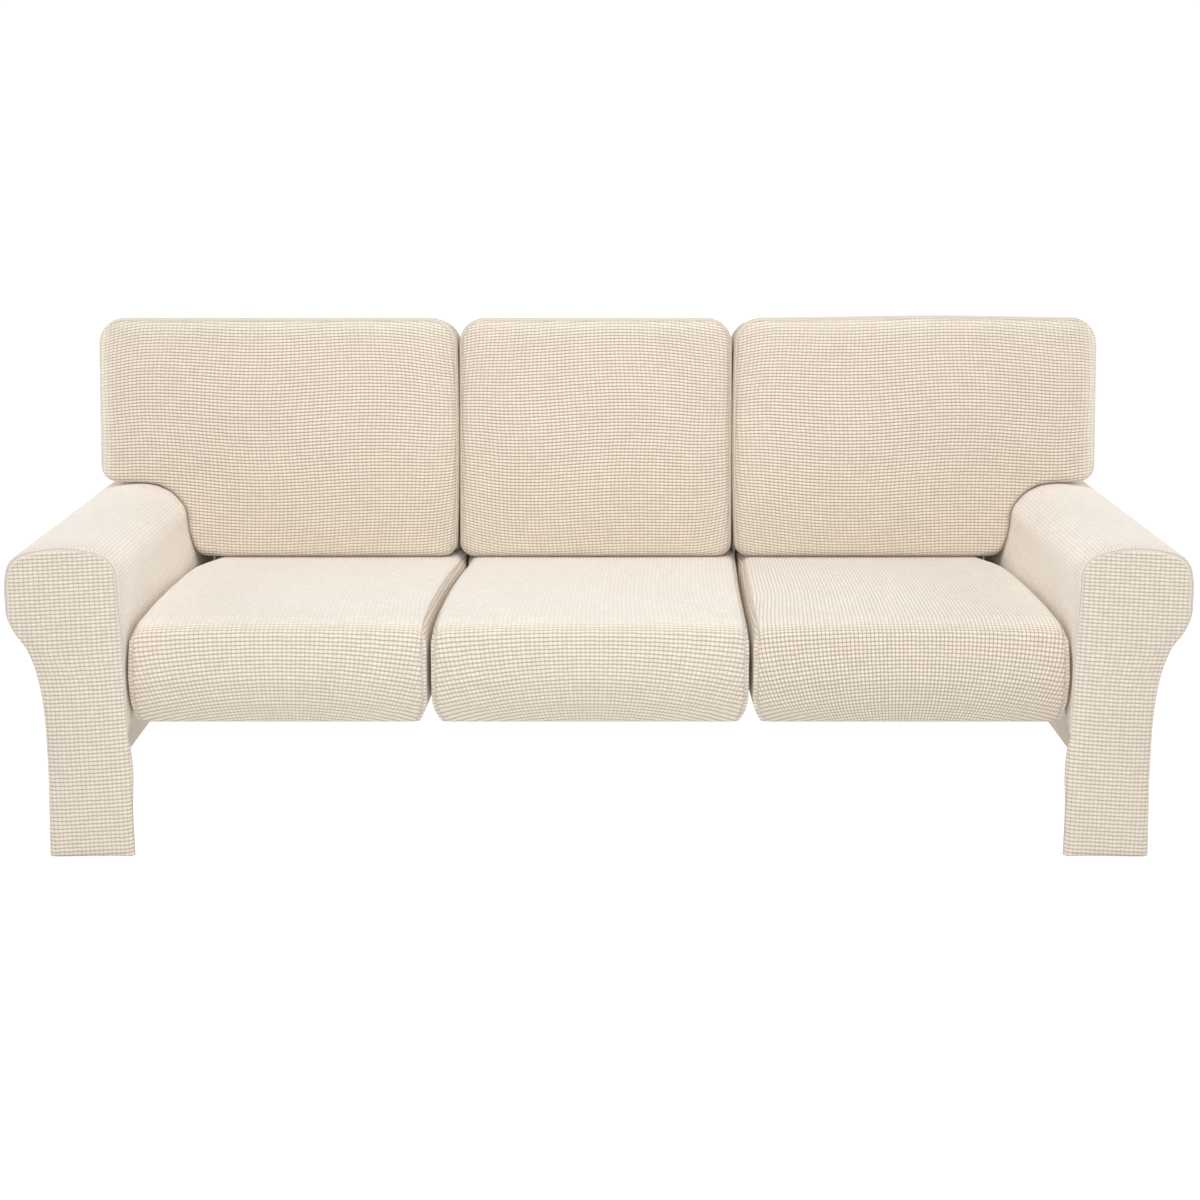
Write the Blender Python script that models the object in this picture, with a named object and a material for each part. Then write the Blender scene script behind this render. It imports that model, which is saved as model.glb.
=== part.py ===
"""Sofa slipcover in stretch jacquard: a set of eight fitted covers, hollow, in their worn shape.

Three covers are for back cushions, three for seat cushions and two for rolled arms.

Sizes are in metres. Across is measured from the middle of the set, deep from the front of the
arms towards the rear, and high from the floor. Everything is parented to one empty, which moves
the set so that the point under the top of the middle back cover lies at the world's origin.
"""

import math
from collections import namedtuple

import bpy
import numpy as np

# ---- The cloth -------------------------------------------------------------------------------
CLOTH = 0.002  # thickness of the stretched jacquard
GAP = 0.0004  # between one cover and the next
SEAM_GAP = 0.0007  # between two panels at their seam
CREAM = (0.88, 0.80, 0.67, 1.0)
CLOTH_ROUGHNESS = 0.9

# ---- Where the covers meet -------------------------------------------------------------------
ARM_INNER = 0.886  # across, inner face of an arm
SEAT_HIGH = 0.4467  # top of the seats where the backs stand
SEAT_LOW = 0.2500
SEAT_MIDDLE_LEFT = -0.3205  # across, where the left seat meets the middle one at the front
SEAT_MIDDLE_RIGHT = 0.2865
SEAT_LINE_LEFT = 0.096  # each line between two seats drifts across by this times deep squared
SEAT_LINE_RIGHT = 0.036
SEAT_LINE_END = 0.600  # deep, where the drift ends
BACK_MIDDLE_LEFT = -0.300
BACK_MIDDLE_RIGHT = 0.286

# ---- Back covers -----------------------------------------------------------------------------
BACK_LOW = SEAT_HIGH + GAP
BACK_HIGH = 0.946
BACK_FRONT = 0.612  # deep, face of the back covers at their foot
BACK_LEAN = 0.177  # how far the face goes back for each metre up
BACK_THICK = 0.190
BACK_TOP_RADIUS = 0.054
BACK_FOOT_RADIUS = 0.030
BACK_EDGE_INSET = 0.022  # rounded edge between the face and the sides
BACK_EDGE_DEPTH = 0.026
BACK_NOTCH_EDGE = 0.7  # beside the arm the rounded edge is smaller by this share
BACK_REAR_RADIUS = 0.036
BACK_HEM_SHARE = 0.08  # the elastic hem turns in by this share of the way to the middle
BACK_SWELL_REACH = 0.10  # the crown rises within about this distance of an edge
BACK_BOW = 0.006  # an outer cover draws in by this at both ends of its inner side
EAR_OUT = 1.083  # across, outer end of the ear over the arm
EAR_FOOT = 0.6065  # high, underside of the ear outside the arm's crest
EAR_FOOT_RADIUS = 0.045
EAR_CLEARANCE = 0.0014  # from the ear to the arm below it
HEEL = 0.850  # across, where the foot turns up beside the arm

# ---- Seat covers -----------------------------------------------------------------------------
SEAT_EDGE = 0.027  # radius of the rounded edge at each side
SEAT_FRONT_EDGE = 0.22  # the front and the rear go in by this share of it at their sides
SEAT_BULGE = 0.004  # the side gusset stands out by this at its middle
SEAT_SWELL_REACH = 0.07
SEAT_DRAWN_IN = 0.018  # the elastic hem draws a side in by this at the foot
SEAT_DRAWN_IN_AT_ARM = 0.005
SEAT_DRAW_HEIGHT = 0.055
SEAT_CENTRE = (0.43, 0.35)  # deep, high

# ---- Arm covers ------------------------------------------------------------------------------
ARM_LENGTH = 0.900
ARM_HEM = 0.238  # high, hem of the body panel on the inner face, at the front
ARM_HEM_REAR = 0.267  # and beside the seats
ARM_EDGE = 0.012  # radius of the edge between the front panel and the body
ARM_CENTRE = (0.963, 0.33)  # across, high
ARM_FRONT_CROWN = 0.005
ARM_DEPTHS = (ARM_EDGE, 0.070, 0.340, 0.620, ARM_LENGTH)

# ---- How finely the sheets are made ----------------------------------------------------------
ARC_STEPS = 3
SPACING = 0.140
BACK_EDGE_TURNS = (0, 30, 60, 90)  # degrees round the edge, from the face to the side
BACK_REAR_TURNS = (45, 90)  # and from the side to the rear
SEAT_EDGE_TURNS = (0, 30, 60, 90)
ARM_EDGE_TURNS = (0, 45, 90)
FACE_SHARES = (0.36, 0.72)  # rows of a face, as shares of the way from its middle to its edge
GUSSET_SHARE = 0.6  # the one row of a gusset
SEAM_PLACE = 0.5  # the seam, as a share of the way across the step that it divides
SEAT_STEPS = 5
CLOSING_STEPS = 3

Point = namedtuple("Point", "across high radius")
SeatPoint = namedtuple("SeatPoint", "deep high radius swell")
Back = namedtuple("Back", "name side inner outer crown")
SEAT_COLUMNS = "name puff left left_line left_pull left_word right right_line right_pull right_word"
Seat = namedtuple("Seat", SEAT_COLUMNS)

# Side is -1 for the cover whose ear lies over the left arm, 1 for the right one and 0 for the
# middle one. Inner and outer are its limits across, as distances for the two outer covers.
BACKS = (
    Back("back_left", -1, -BACK_MIDDLE_LEFT, EAR_OUT, 0.031),
    Back("back_middle", 0, BACK_MIDDLE_LEFT, BACK_MIDDLE_RIGHT, 0.027),
    Back("back_right", 1, BACK_MIDDLE_RIGHT, EAR_OUT, 0.033),
)
# A seat's limit across at each side, the drift of its line there and how far its hem pulls in.
AT_LEFT_ARM = (GAP / 2 - ARM_INNER, 0.0, SEAT_DRAWN_IN_AT_ARM)
AT_LEFT_LINE = (SEAT_MIDDLE_LEFT, SEAT_LINE_LEFT, SEAT_DRAWN_IN)
AT_RIGHT_LINE = (SEAT_MIDDLE_RIGHT, SEAT_LINE_RIGHT, SEAT_DRAWN_IN)
AT_RIGHT_ARM = (ARM_INNER - GAP / 2, 0.0, SEAT_DRAWN_IN_AT_ARM)
SEATS = (
    Seat("seat_left", 1.0, *AT_LEFT_ARM, "out", *AT_LEFT_LINE, "in"),
    Seat("seat_middle", 0.8, *AT_LEFT_LINE, "left", *AT_RIGHT_LINE, "right"),
    Seat("seat_right", 1.1, *AT_RIGHT_LINE, "in", *AT_RIGHT_ARM, "out"),
)

# Section of a seat cover from its rear hem, up the rear, over the top and down the front. The
# swell is how far the middle of the cover stands out past its ends.
SEAT_SECTION = (
    SeatPoint(0.780, SEAT_LOW, 0.000, 0.000),  # rear hem, turned under
    SeatPoint(0.815, SEAT_LOW, 0.016, 0.000),
    SeatPoint(0.815, SEAT_HIGH, 0.030, 0.000),
    SeatPoint(0.600, SEAT_HIGH, 0.000, 0.000),  # behind here the backs stand on the top
    SeatPoint(0.470, 0.4490, 0.000, 0.005),
    SeatPoint(0.330, 0.4500, 0.000, 0.007),
    SeatPoint(0.200, 0.4490, 0.000, 0.006),
    SeatPoint(0.092, 0.4450, 0.000, 0.004),
    SeatPoint(0.064, 0.4380, 0.000, 0.003),
    SeatPoint(0.042, 0.4270, 0.005, 0.003),  # crease along the front edge
    SeatPoint(0.033, 0.3850, 0.000, 0.005),
    SeatPoint(0.029, 0.3400, 0.000, 0.007),
    SeatPoint(0.035, 0.2950, 0.000, 0.005),
    SeatPoint(0.050, SEAT_LOW, 0.012, 0.000),
    SeatPoint(0.088, SEAT_LOW, 0.000, 0.000),  # front hem, turned under
)

# Section of the right arm from the floor outside, over the roll and down the inner face.
ARM_SECTION = (
    Point(1.0390, 0.0000, 0),
    Point(1.0390, 0.2000, 0),
    Point(1.0415, 0.2830, 0),
    Point(1.0470, 0.3350, 0),
    Point(1.0555, 0.3750, 0),  # the neck under the roll
    Point(1.0675, 0.4070, 0),
    Point(1.0870, 0.4360, 0),
    Point(1.0995, 0.4680, 0),
    Point(1.1007, 0.5030, 0),
    Point(1.0985, 0.5400, 0),
    Point(1.0890, 0.5710, 0),
    Point(1.0740, 0.5850, 0),
    Point(1.0500, 0.5945, 0),
    Point(1.0200, 0.6000, 0),
    Point(0.9890, 0.6030, 0),  # the crest of the roll
    Point(0.9550, 0.6000, 0),
    Point(0.9250, 0.5925, 0),
    Point(0.9020, 0.5810, 0),
    Point(0.8895, 0.5620, 0),
    Point(ARM_INNER, 0.5350, 0),  # the inner face starts
    Point(ARM_INNER, 0.4000, 0),
    Point(ARM_INNER, ARM_HEM, 0),
)
CREST_ROW = 14
INNER_FACE_ROW = 19


# ---- Outlines in a plane ---------------------------------------------------------------------
def unit(vector):
    return vector / np.linalg.norm(vector)


def arc_at(before, corner, after, radius):
    """The arc that turns the corner, from the side of the point before it to that after it."""
    if radius == 0:
        return corner[None, :]
    back, on = unit(before - corner), unit(after - corner)
    half = math.acos(float(np.clip(back @ on, -1, 1))) / 2
    centre = corner + unit(back + on) * radius / math.sin(half)
    start = corner + back * radius / math.tan(half) - centre
    turn = math.pi - 2 * half
    if back[0] * on[1] - back[1] * on[0] > 0:
        turn = -turn
    angles = np.linspace(0, turn, ARC_STEPS + 1)[:, None]
    return centre + start * np.cos(angles) + np.array([-start[1], start[0]]) * np.sin(angles)


def rounded(points, radii, closed):
    """The outline through the points, with its corners turned by arcs and its long sides divided.

    Also gives, for each point of the outline, which row of the table it belongs to, or how far
    it lies between two rows.
    """
    points = np.array(points, float)
    last = len(points) - 1
    bends = []
    for i, corner in enumerate(points):
        turns = closed or 0 < i < last
        after = points[(i + 1) % len(points)]
        bends.append(arc_at(points[i - 1], corner, after, radii[i] if turns else 0))
    outline, rows = [], []
    for i, bend in enumerate(bends):
        outline.append(bend)
        rows.append(np.full(len(bend), float(i)))
        if closed or i < last:
            side = bends[(i + 1) % len(bends)][0] - bend[-1]
            steps = max(1, math.ceil(np.linalg.norm(side) / SPACING))
            shares = np.arange(1, steps) / steps
            outline.append(bend[-1] + shares[:, None] * side)
            rows.append(i + shares)
    return np.concatenate(outline), np.concatenate(rows)


def inward(outline, closed):
    """Unit normals pointing into an outline that runs anticlockwise."""
    if closed:
        along = np.roll(outline, -1, axis=0) - np.roll(outline, 1, axis=0)
    else:
        along = np.gradient(outline, axis=0)
    along /= np.linalg.norm(along, axis=1, keepdims=True)
    return np.stack([-along[:, 1], along[:, 0]], axis=1)


def edge_turn(degrees, inset, depth):
    """How far in and how deep an elliptical edge lies at an angle: 0 on the face, 90 at the side."""
    angle = math.radians(degrees)
    return inset * (1 - math.sin(angle)), depth * (1 - math.cos(angle))


def rise(distance, reach):
    """0 at an edge, climbing smoothly towards 1 well inside it."""
    return 1 - np.exp(-np.maximum(distance, 0) / reach)


def cut_at_seam(row, next_row):
    """Ends the cloth on either side of a seam that lies between two rows, a gap apart."""
    step = next_row - row
    half_gap = SEAM_GAP / 2 / np.linalg.norm(step, axis=1, keepdims=True)
    return row + step * (SEAM_PLACE - half_gap), row + step * (SEAM_PLACE + half_gap)


# ---- Sheets ----------------------------------------------------------------------------------
def jacquard():
    cloth = bpy.data.materials.new("cream jacquard")
    cloth.use_nodes = True
    shader = cloth.node_tree.nodes["Principled BSDF"]
    shader.inputs["Base Color"].default_value = CREAM
    shader.inputs["Roughness"].default_value = CLOTH_ROUGHNESS
    shader.inputs["Metallic"].default_value = 0.0
    return cloth


def sheet(name, rows, closed, inside, middle=None):
    """Joins rows of points into a sheet of cloth, with a fan to the middle of a face if it has one.

    Inside is a point behind the cloth, and the cloth's thickness goes towards it.
    """
    width = len(rows[0])
    points = np.concatenate(rows)
    here = np.arange(width if closed else width - 1)
    beside = (here + 1) % width
    faces = []
    for start in range(0, width * (len(rows) - 1), width):
        ends = np.stack([here, beside, beside + width, here + width], axis=1)
        faces.extend((ends + start).tolist())
    if middle is not None:
        faces.extend([[b, a, len(points)] for a, b in zip(here.tolist(), beside.tolist())])
        points = np.concatenate([points, np.array(middle, float)[None, :]])
    inside = np.array(inside, float)
    outwards = 0.0
    for face in faces:
        corners = points[face]
        area = np.cross(corners[1] - corners[0], corners[-1] - corners[0])
        outwards += area @ (corners.mean(axis=0) - inside)
    if outwards < 0:
        faces = [face[::-1] for face in faces]
    mesh = bpy.data.meshes.new(name)
    mesh.from_pydata((points - inside).tolist(), [], faces)
    mesh.shade_smooth()
    mesh.materials.append(cloth)
    piece = bpy.data.objects.new(name, mesh)
    bpy.context.scene.collection.objects.link(piece)
    piece.location = inside
    piece.parent = hanger
    thickness = piece.modifiers.new("thickness", "SOLIDIFY")
    thickness.thickness = CLOTH
    thickness.offset = -1
    thickness.use_even_offset = True
    return piece


# ---- Back covers -----------------------------------------------------------------------------
def ear_side():
    """Points along the inner face and the roll of the right arm, a little clear of it."""
    section = np.array([(p.across, p.high) for p in ARM_SECTION])
    outside = section - EAR_CLEARANCE * inward(section, closed=False)
    return outside[CREST_ROW : INNER_FACE_ROW + 1][::-1]


def back_outline(back):
    """Outline of a back cover from the front, anticlockwise. A left cover is made as a right one."""
    left = back.inner + GAP / 2
    if back.side:
        corners = [Point(left, BACK_LOW, BACK_FOOT_RADIUS), Point(HEEL, BACK_LOW, BACK_FOOT_RADIUS)]
        corners += [Point(across, high, 0) for across, high in ear_side()]
        corners += [Point(EAR_OUT, EAR_FOOT, EAR_FOOT_RADIUS), Point(EAR_OUT, BACK_HIGH, BACK_TOP_RADIUS)]
    else:
        right = back.outer - GAP / 2
        corners = [Point(left, BACK_LOW, BACK_FOOT_RADIUS), Point(right, BACK_LOW, BACK_FOOT_RADIUS)]
        corners.append(Point(right, BACK_HIGH, BACK_TOP_RADIUS))
    corners.append(Point(left, BACK_HIGH, BACK_TOP_RADIUS))
    outline, _ = rounded([corner[:2] for corner in corners], [c.radius for c in corners], closed=True)
    if back.side:
        from_middle = (outline[:, 1] - (BACK_LOW + BACK_HIGH) / 2) / ((BACK_HIGH - BACK_LOW) / 2)
        to_left = (back.outer - outline[:, 0]) / (back.outer - left)
        outline[:, 0] += BACK_BOW * from_middle**2 * to_left
    return outline


def back_crown(back, across, high):
    """How far the face stands forward: its crown, falling to nothing at every edge."""
    height = back.crown * np.ones_like(across)
    for distance in (across - back.inner, back.outer - across, high - BACK_LOW, BACK_HIGH - high):
        height = height * rise(distance, BACK_SWELL_REACH)
    if back.side:
        beside_arm = np.hypot(np.maximum(ARM_INNER - across, 0), np.maximum(high - EAR_FOOT, 0))
        height = height * rise(beside_arm, BACK_SWELL_REACH)
    return height


def back_row(back, outline, depth, on_face):
    """Places a row of a back cover: leaning back, and crowned where it is on the face."""
    across, high = outline[:, 0], outline[:, 1]
    deep = BACK_FRONT + BACK_LEAN * (high - BACK_LOW) + depth
    if on_face:
        deep = deep - back_crown(back, across, high)
    return np.stack([across * (back.side or 1), deep, high], axis=1)


def make_back(back):
    outline = back_outline(back)
    normals = inward(outline, closed=True)
    size = np.ones(len(outline))
    if back.side:
        notch = (outline[:, 0] > HEEL) & (outline[:, 1] < EAR_FOOT)
        size[notch] = BACK_NOTCH_EDGE
    across = (HEEL + back.inner) / 2 if back.side else (back.inner + back.outer) / 2
    middle = np.array([across, (BACK_LOW + BACK_HIGH) / 2])
    edge = []
    for degrees in BACK_EDGE_TURNS:
        inset, depth = edge_turn(degrees, BACK_EDGE_INSET, BACK_EDGE_DEPTH)
        line = outline + normals * inset * size[:, None]
        edge.append(back_row(back, line, depth * size, on_face=True))
    face_edge = outline + normals * BACK_EDGE_INSET * size[:, None]
    face = [back_row(back, middle + (face_edge - middle) * share, 0, True) for share in FACE_SHARES]
    front_end, boxing_start = cut_at_seam(edge[1], edge[2])
    middle_of_face = back_row(back, middle[None, :], 0, True)[0]
    inside = back_row(back, middle[None, :], BACK_THICK / 2, False)[0]
    sheet(f"{back.name}_front", face + edge[:2] + [front_end], True, inside, middle_of_face)

    boxing = [boxing_start] + edge[2:]
    side_end = BACK_THICK - BACK_REAR_RADIUS
    boxing.append(back_row(back, outline, (BACK_EDGE_DEPTH + side_end) / 2, False))
    boxing.append(back_row(back, outline, side_end, False))
    for degrees in BACK_REAR_TURNS:
        inset, depth = edge_turn(90 - degrees, BACK_REAR_RADIUS, BACK_REAR_RADIUS)
        boxing.append(back_row(back, outline + normals * inset, BACK_THICK - depth, False))
    hem = outline + normals * BACK_REAR_RADIUS
    hem = hem + (middle - hem) * BACK_HEM_SHARE
    boxing.append(back_row(back, hem, BACK_THICK, False))
    sheet(f"{back.name}_boxing", boxing, True, inside)


# ---- Seat covers -----------------------------------------------------------------------------
def with_closing_line(row):
    """Adds the straight line that leads from a row's end back to its start."""
    shares = np.linspace(0, 1, CLOSING_STEPS + 1)[1:-1, None]
    return np.concatenate([row, row[-1] + shares * (row[0] - row[-1])])


def drawn_in(seat, across, high, half_width):
    """Draws the sides in towards the foot, where the elastic hem pulls them under."""
    share = np.clip((high - SEAT_LOW) / SEAT_DRAW_HEIGHT, 0, 1)
    pull = np.where(across < 0, seat.left_pull, seat.right_pull) * (1 - share) ** 2
    return across * (1 - pull / half_width)


def place_seat(seat, row):
    """Moves a row of a seat cover across, so that its sides follow the lines between the seats."""
    share = np.clip((row[:, 0] - seat.left) / (seat.right - seat.left), 0, 1)
    drift = seat.left_line * (1 - share) + seat.right_line * share
    across = row[:, 0] + drift * np.minimum(row[:, 1], SEAT_LINE_END) ** 2
    return np.stack([across, row[:, 1], row[:, 2]], axis=1)


def make_seat(seat):
    section, rows = rounded([p[:2] for p in SEAT_SECTION], [p.radius for p in SEAT_SECTION], closed=False)
    swell = np.interp(rows, range(len(SEAT_SECTION)), [p.swell for p in SEAT_SECTION]) * seat.puff
    normals = inward(section, closed=False)
    for row, point in enumerate(SEAT_SECTION):
        if 0 < point.radius < SEAT_EDGE:
            tight = rows == row
            normals[tight] = unit(normals[tight].mean(axis=0))
    under = normals[:, 1] > 0  # the underside stays level and moves only towards the middle
    normals[under, 0] = np.sign(SEAT_CENTRE[0] - section[under, 0])
    normals[under, 1] = 0
    half_width = (seat.right - seat.left - GAP) / 2 - SEAT_BULGE
    centre = (seat.left + seat.right) / 2

    def row_at(across):
        """The section at a distance across from the cover's middle."""
        from_end = half_width - abs(across)
        turn = max(0.0, 1 - from_end / SEAT_EDGE)
        inset = SEAT_EDGE * (1 - math.sqrt(1 - turn**2)) * np.array([SEAT_FRONT_EDGE, 1])
        stands_out = swell * rise(from_end, SEAT_SWELL_REACH)
        line = section + normals * (inset - stands_out[:, None])
        spread = drawn_in(seat, np.full(len(line), across), line[:, 1], half_width)
        return np.stack([centre + spread, line[:, 0], line[:, 1]], axis=1)

    flat_end = half_width - SEAT_EDGE
    edge = [row_at(flat_end + SEAT_EDGE * math.sin(math.radians(turn))) for turn in SEAT_EDGE_TURNS]
    other_edge = [
        row_at(-flat_end - SEAT_EDGE * math.sin(math.radians(turn))) for turn in SEAT_EDGE_TURNS
    ]
    flat = [row_at(across) for across in np.linspace(-flat_end, flat_end, SEAT_STEPS + 1)[1:-1]]
    right_end, right_gusset = cut_at_seam(edge[1], edge[2])
    left_end, left_gusset = cut_at_seam(other_edge[1], other_edge[2])
    inside = (centre, *SEAT_CENTRE)
    top = [left_end] + other_edge[1::-1] + flat + edge[:2] + [right_end]
    sheet(f"{seat.name}_top", [place_seat(seat, row) for row in top], False, inside)

    for side, seam, rows, word in (
        (-1, left_gusset, other_edge[2:], seat.left_word),
        (1, right_gusset, edge[2:], seat.right_word),
    ):
        hem = with_closing_line(seam)
        hem[len(seam) :, 0] = centre + drawn_in(seat, side * flat_end, SEAT_LOW, half_width)
        rows = [hem] + [with_closing_line(row) for row in rows]
        deep = SEAT_CENTRE[0] + (rows[-1][:, 1] - SEAT_CENTRE[0]) * GUSSET_SHARE
        high = SEAT_CENTRE[1] + (rows[-1][:, 2] - SEAT_CENTRE[1]) * GUSSET_SHARE
        stands_out = np.full(len(deep), side * (half_width + SEAT_BULGE * (1 - GUSSET_SHARE**2)))
        across = centre + drawn_in(seat, stands_out, high, half_width)
        rows.append(np.stack([across, deep, high], axis=1))
        rows = [place_seat(seat, row) for row in reversed(rows)]
        middle = np.array([(centre + side * (half_width + SEAT_BULGE), *SEAT_CENTRE)])
        middle = place_seat(seat, middle)[0]
        sheet(f"{seat.name}_gusset_{word}", rows, True, inside, middle)


# ---- Arm covers ------------------------------------------------------------------------------
def make_arm(name, side):
    body_section = np.array([(p.across, p.high) for p in ARM_SECTION])
    to_floor = np.array([(ARM_INNER, ARM_HEM / 2), (ARM_INNER, 0.0)])
    front_section = np.concatenate([body_section, to_floor])
    normals = inward(front_section, closed=False)
    body = slice(0, len(body_section))
    middle = np.array(ARM_CENTRE)

    def row_at(line, deep):
        return np.stack([side * line[:, 0], np.full(len(line), float(deep)), line[:, 1]], axis=1)

    edge = []
    for degrees in ARM_EDGE_TURNS:
        inset, depth = edge_turn(degrees, ARM_EDGE, ARM_EDGE)
        edge.append(row_at(front_section + normals * inset, depth))
    front_end, body_start = cut_at_seam(edge[0], edge[1])
    rim = with_closing_line(edge[0])
    face = []
    for share in FACE_SHARES:
        row = rim.copy()
        row[:, 0] = side * middle[0] + (rim[:, 0] - side * middle[0]) * share
        row[:, 1] = -ARM_FRONT_CROWN * (1 - share**2)
        row[:, 2] = middle[1] + (rim[:, 2] - middle[1]) * share
        face.append(row)
    inside = (side * middle[0], ARM_LENGTH / 2, middle[1])
    middle_of_face = (side * middle[0], -ARM_FRONT_CROWN, middle[1])
    sheet(f"{name}_front", face + [rim, with_closing_line(front_end)], True, inside, middle_of_face)

    along = []
    for deep in ARM_DEPTHS:
        row = row_at(body_section, deep)
        row[-1, 2] = ARM_HEM if deep == ARM_EDGE else ARM_HEM_REAR
        along.append(row)
    sheet(f"{name}_body", [body_start[body], edge[1][body]] + along, False, inside)


# ---- The set ---------------------------------------------------------------------------------
for leftover in list(bpy.data.objects):
    bpy.data.objects.remove(leftover, do_unlink=True)

cloth = jacquard()
hanger = bpy.data.objects.new("slipcover_set", None)
bpy.context.scene.collection.objects.link(hanger)
top_of_back = BACK_FRONT + BACK_LEAN * (BACK_HIGH - BACK_LOW) + BACK_THICK / 2
hanger.location = (0.0, -top_of_back, CLOTH - BACK_HIGH)

for back in BACKS:
    make_back(back)
for seat in SEATS:
    make_seat(seat)
make_arm("arm_left", -1)
make_arm("arm_right", 1)
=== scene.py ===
# %% [markdown]
# # A stretch slipcover set
#
# The real object is a set of eight fitted covers in one cream stretch jacquard: three for back
# cushions, three for seat cushions and two for rolled arms. Elastic in the hems pulls each cover
# tight, so the cloth shows few folds. The set is modelled as worn, and hollow.
#
# Each cut panel is one sheet. It is worked out with numpy as a grid of points, and a Solidify
# modifier gives it its thickness. Cloth simulation would only loosen shapes that are stretched
# tight, so the swell, the drawn-in hems and the gathers are formulas instead.

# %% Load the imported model
import math

import bpy
import numpy as np
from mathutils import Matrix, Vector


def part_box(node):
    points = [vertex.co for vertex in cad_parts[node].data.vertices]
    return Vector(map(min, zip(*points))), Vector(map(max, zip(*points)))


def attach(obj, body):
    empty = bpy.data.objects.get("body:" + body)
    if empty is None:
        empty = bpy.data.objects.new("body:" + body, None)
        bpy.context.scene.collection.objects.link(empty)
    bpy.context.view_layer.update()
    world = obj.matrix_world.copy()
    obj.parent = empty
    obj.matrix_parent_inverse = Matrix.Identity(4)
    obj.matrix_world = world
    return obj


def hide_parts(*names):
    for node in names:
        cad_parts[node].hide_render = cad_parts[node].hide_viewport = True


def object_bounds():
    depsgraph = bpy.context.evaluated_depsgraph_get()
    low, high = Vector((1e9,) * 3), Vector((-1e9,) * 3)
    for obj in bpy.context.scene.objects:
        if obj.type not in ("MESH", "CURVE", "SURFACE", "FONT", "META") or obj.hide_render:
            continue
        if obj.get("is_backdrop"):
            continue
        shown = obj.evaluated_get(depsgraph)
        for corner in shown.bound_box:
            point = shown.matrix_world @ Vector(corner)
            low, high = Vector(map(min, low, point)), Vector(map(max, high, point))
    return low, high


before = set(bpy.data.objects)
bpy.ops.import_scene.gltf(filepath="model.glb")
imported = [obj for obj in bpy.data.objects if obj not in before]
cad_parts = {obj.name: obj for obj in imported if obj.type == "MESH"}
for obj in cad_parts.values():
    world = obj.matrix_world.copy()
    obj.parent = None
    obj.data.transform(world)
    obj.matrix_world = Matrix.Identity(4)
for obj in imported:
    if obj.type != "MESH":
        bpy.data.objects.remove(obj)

cad_box = [list(corner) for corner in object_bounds()]
print("packed model:", [[round(value, 3) for value in corner] for corner in cad_box])

# %% [markdown]
# ## Where things are
#
# Shapes are worked out in the set's own measure: across from the middle of the set, deep from the
# front of the arms, and high from the floor. One vector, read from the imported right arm, turns that
# into the world's coordinates. All sizes are in metres.

# %% Measures of the set
ARM_LENGTH = 0.900
arm_low, arm_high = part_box("arm_right_body")
SET = np.array([0.0, arm_high.y - ARM_LENGTH, arm_low.z])

CLOTH = 0.0018  # thickness of a sheet
GAP = 0.0004  # from one cover to the next
SEAM_GAP = 0.0007  # from one panel to the next at their seam

ARM_INNER = 0.886
SEAT_HIGH, SEAT_LOW = 0.4467, 0.2500
SEAT_MIDDLE_LEFT, SEAT_MIDDLE_RIGHT = -0.3205, 0.2865
BACK_MIDDLE_LEFT, BACK_MIDDLE_RIGHT = -0.300, 0.286
BACK_LOW, BACK_HIGH = SEAT_HIGH + GAP, 0.946
print("the set stands at", SET.round(4), "and its arms are", ARM_LENGTH, "m deep")

# %% [markdown]
# ## The camera, the floor and the light
#
# The photograph was taken with a longish lens from straight in front, a little above the backs, and
# shows the object on white. So the floor and the world look white to the camera. They light the
# cloth with only part of that strength, because light from all round would wash out the check. A
# large lamp above keeps the tops nearly white, one in front lights the fronts evenly, and two behind,
# one at each side, brighten the outer sides of the arms.

# %% Camera
CAMERA = np.array([0.0, -3.590, 1.371])
CAMERA_PITCH = 13.6  # degrees below the horizon
LENS, SENSOR = 60.0, 36.0  # millimetres
LENS_SHIFT = 1 / 1200  # sideways, as a share of the picture's width

lens = bpy.data.cameras.new("camera")
lens.lens, lens.sensor_width, lens.shift_x = LENS, SENSOR, LENS_SHIFT
camera = bpy.data.objects.new("camera", lens)
camera.location = CAMERA + SET
camera.rotation_euler = (math.radians(90 - CAMERA_PITCH), 0, 0)
bpy.context.scene.collection.objects.link(camera)
bpy.context.scene.camera = camera
print("camera at", [round(value, 3) for value in camera.location])

# %% Floor and world
FLOOR_REACH = 30.0
FLOOR_BELOW = 0.001  # from the covers' foot down to the floor
FLOOR_GREY, WHITE = (0.30, 0.30, 0.30, 1), (1, 1, 1, 1)
FLOOR_SEEN, FLOOR_LIGHT = 0.95, 0.56  # strength to the camera, and strength as a light
WORLD_SEEN, WORLD_LIGHT = 1.05, 0.36

floor_mesh = bpy.data.meshes.new("floor")
square = FLOOR_REACH * np.array([(-1, -1, 0), (1, -1, 0), (1, 1, 0), (-1, 1, 0)])
floor_mesh.from_pydata((square + (0, 0, SET[2] - FLOOR_BELOW)).tolist(), [], [(0, 1, 2, 3)])
white = bpy.data.materials.new("white floor")
white.use_nodes = True
paint = white.node_tree.nodes["Principled BSDF"].inputs
for name, value in (("Base Color", FLOOR_GREY), ("Emission Color", WHITE), ("Roughness", 0.9)):
    paint[name].default_value = value
floor_mesh.materials.append(white)
floor = bpy.data.objects.new("floor", floor_mesh)
bpy.context.scene.collection.objects.link(floor)
floor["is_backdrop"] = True

world = bpy.data.worlds.new("white room")
world.use_nodes = True
background = world.node_tree.nodes["Background"].inputs
background["Color"].default_value = WHITE


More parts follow.
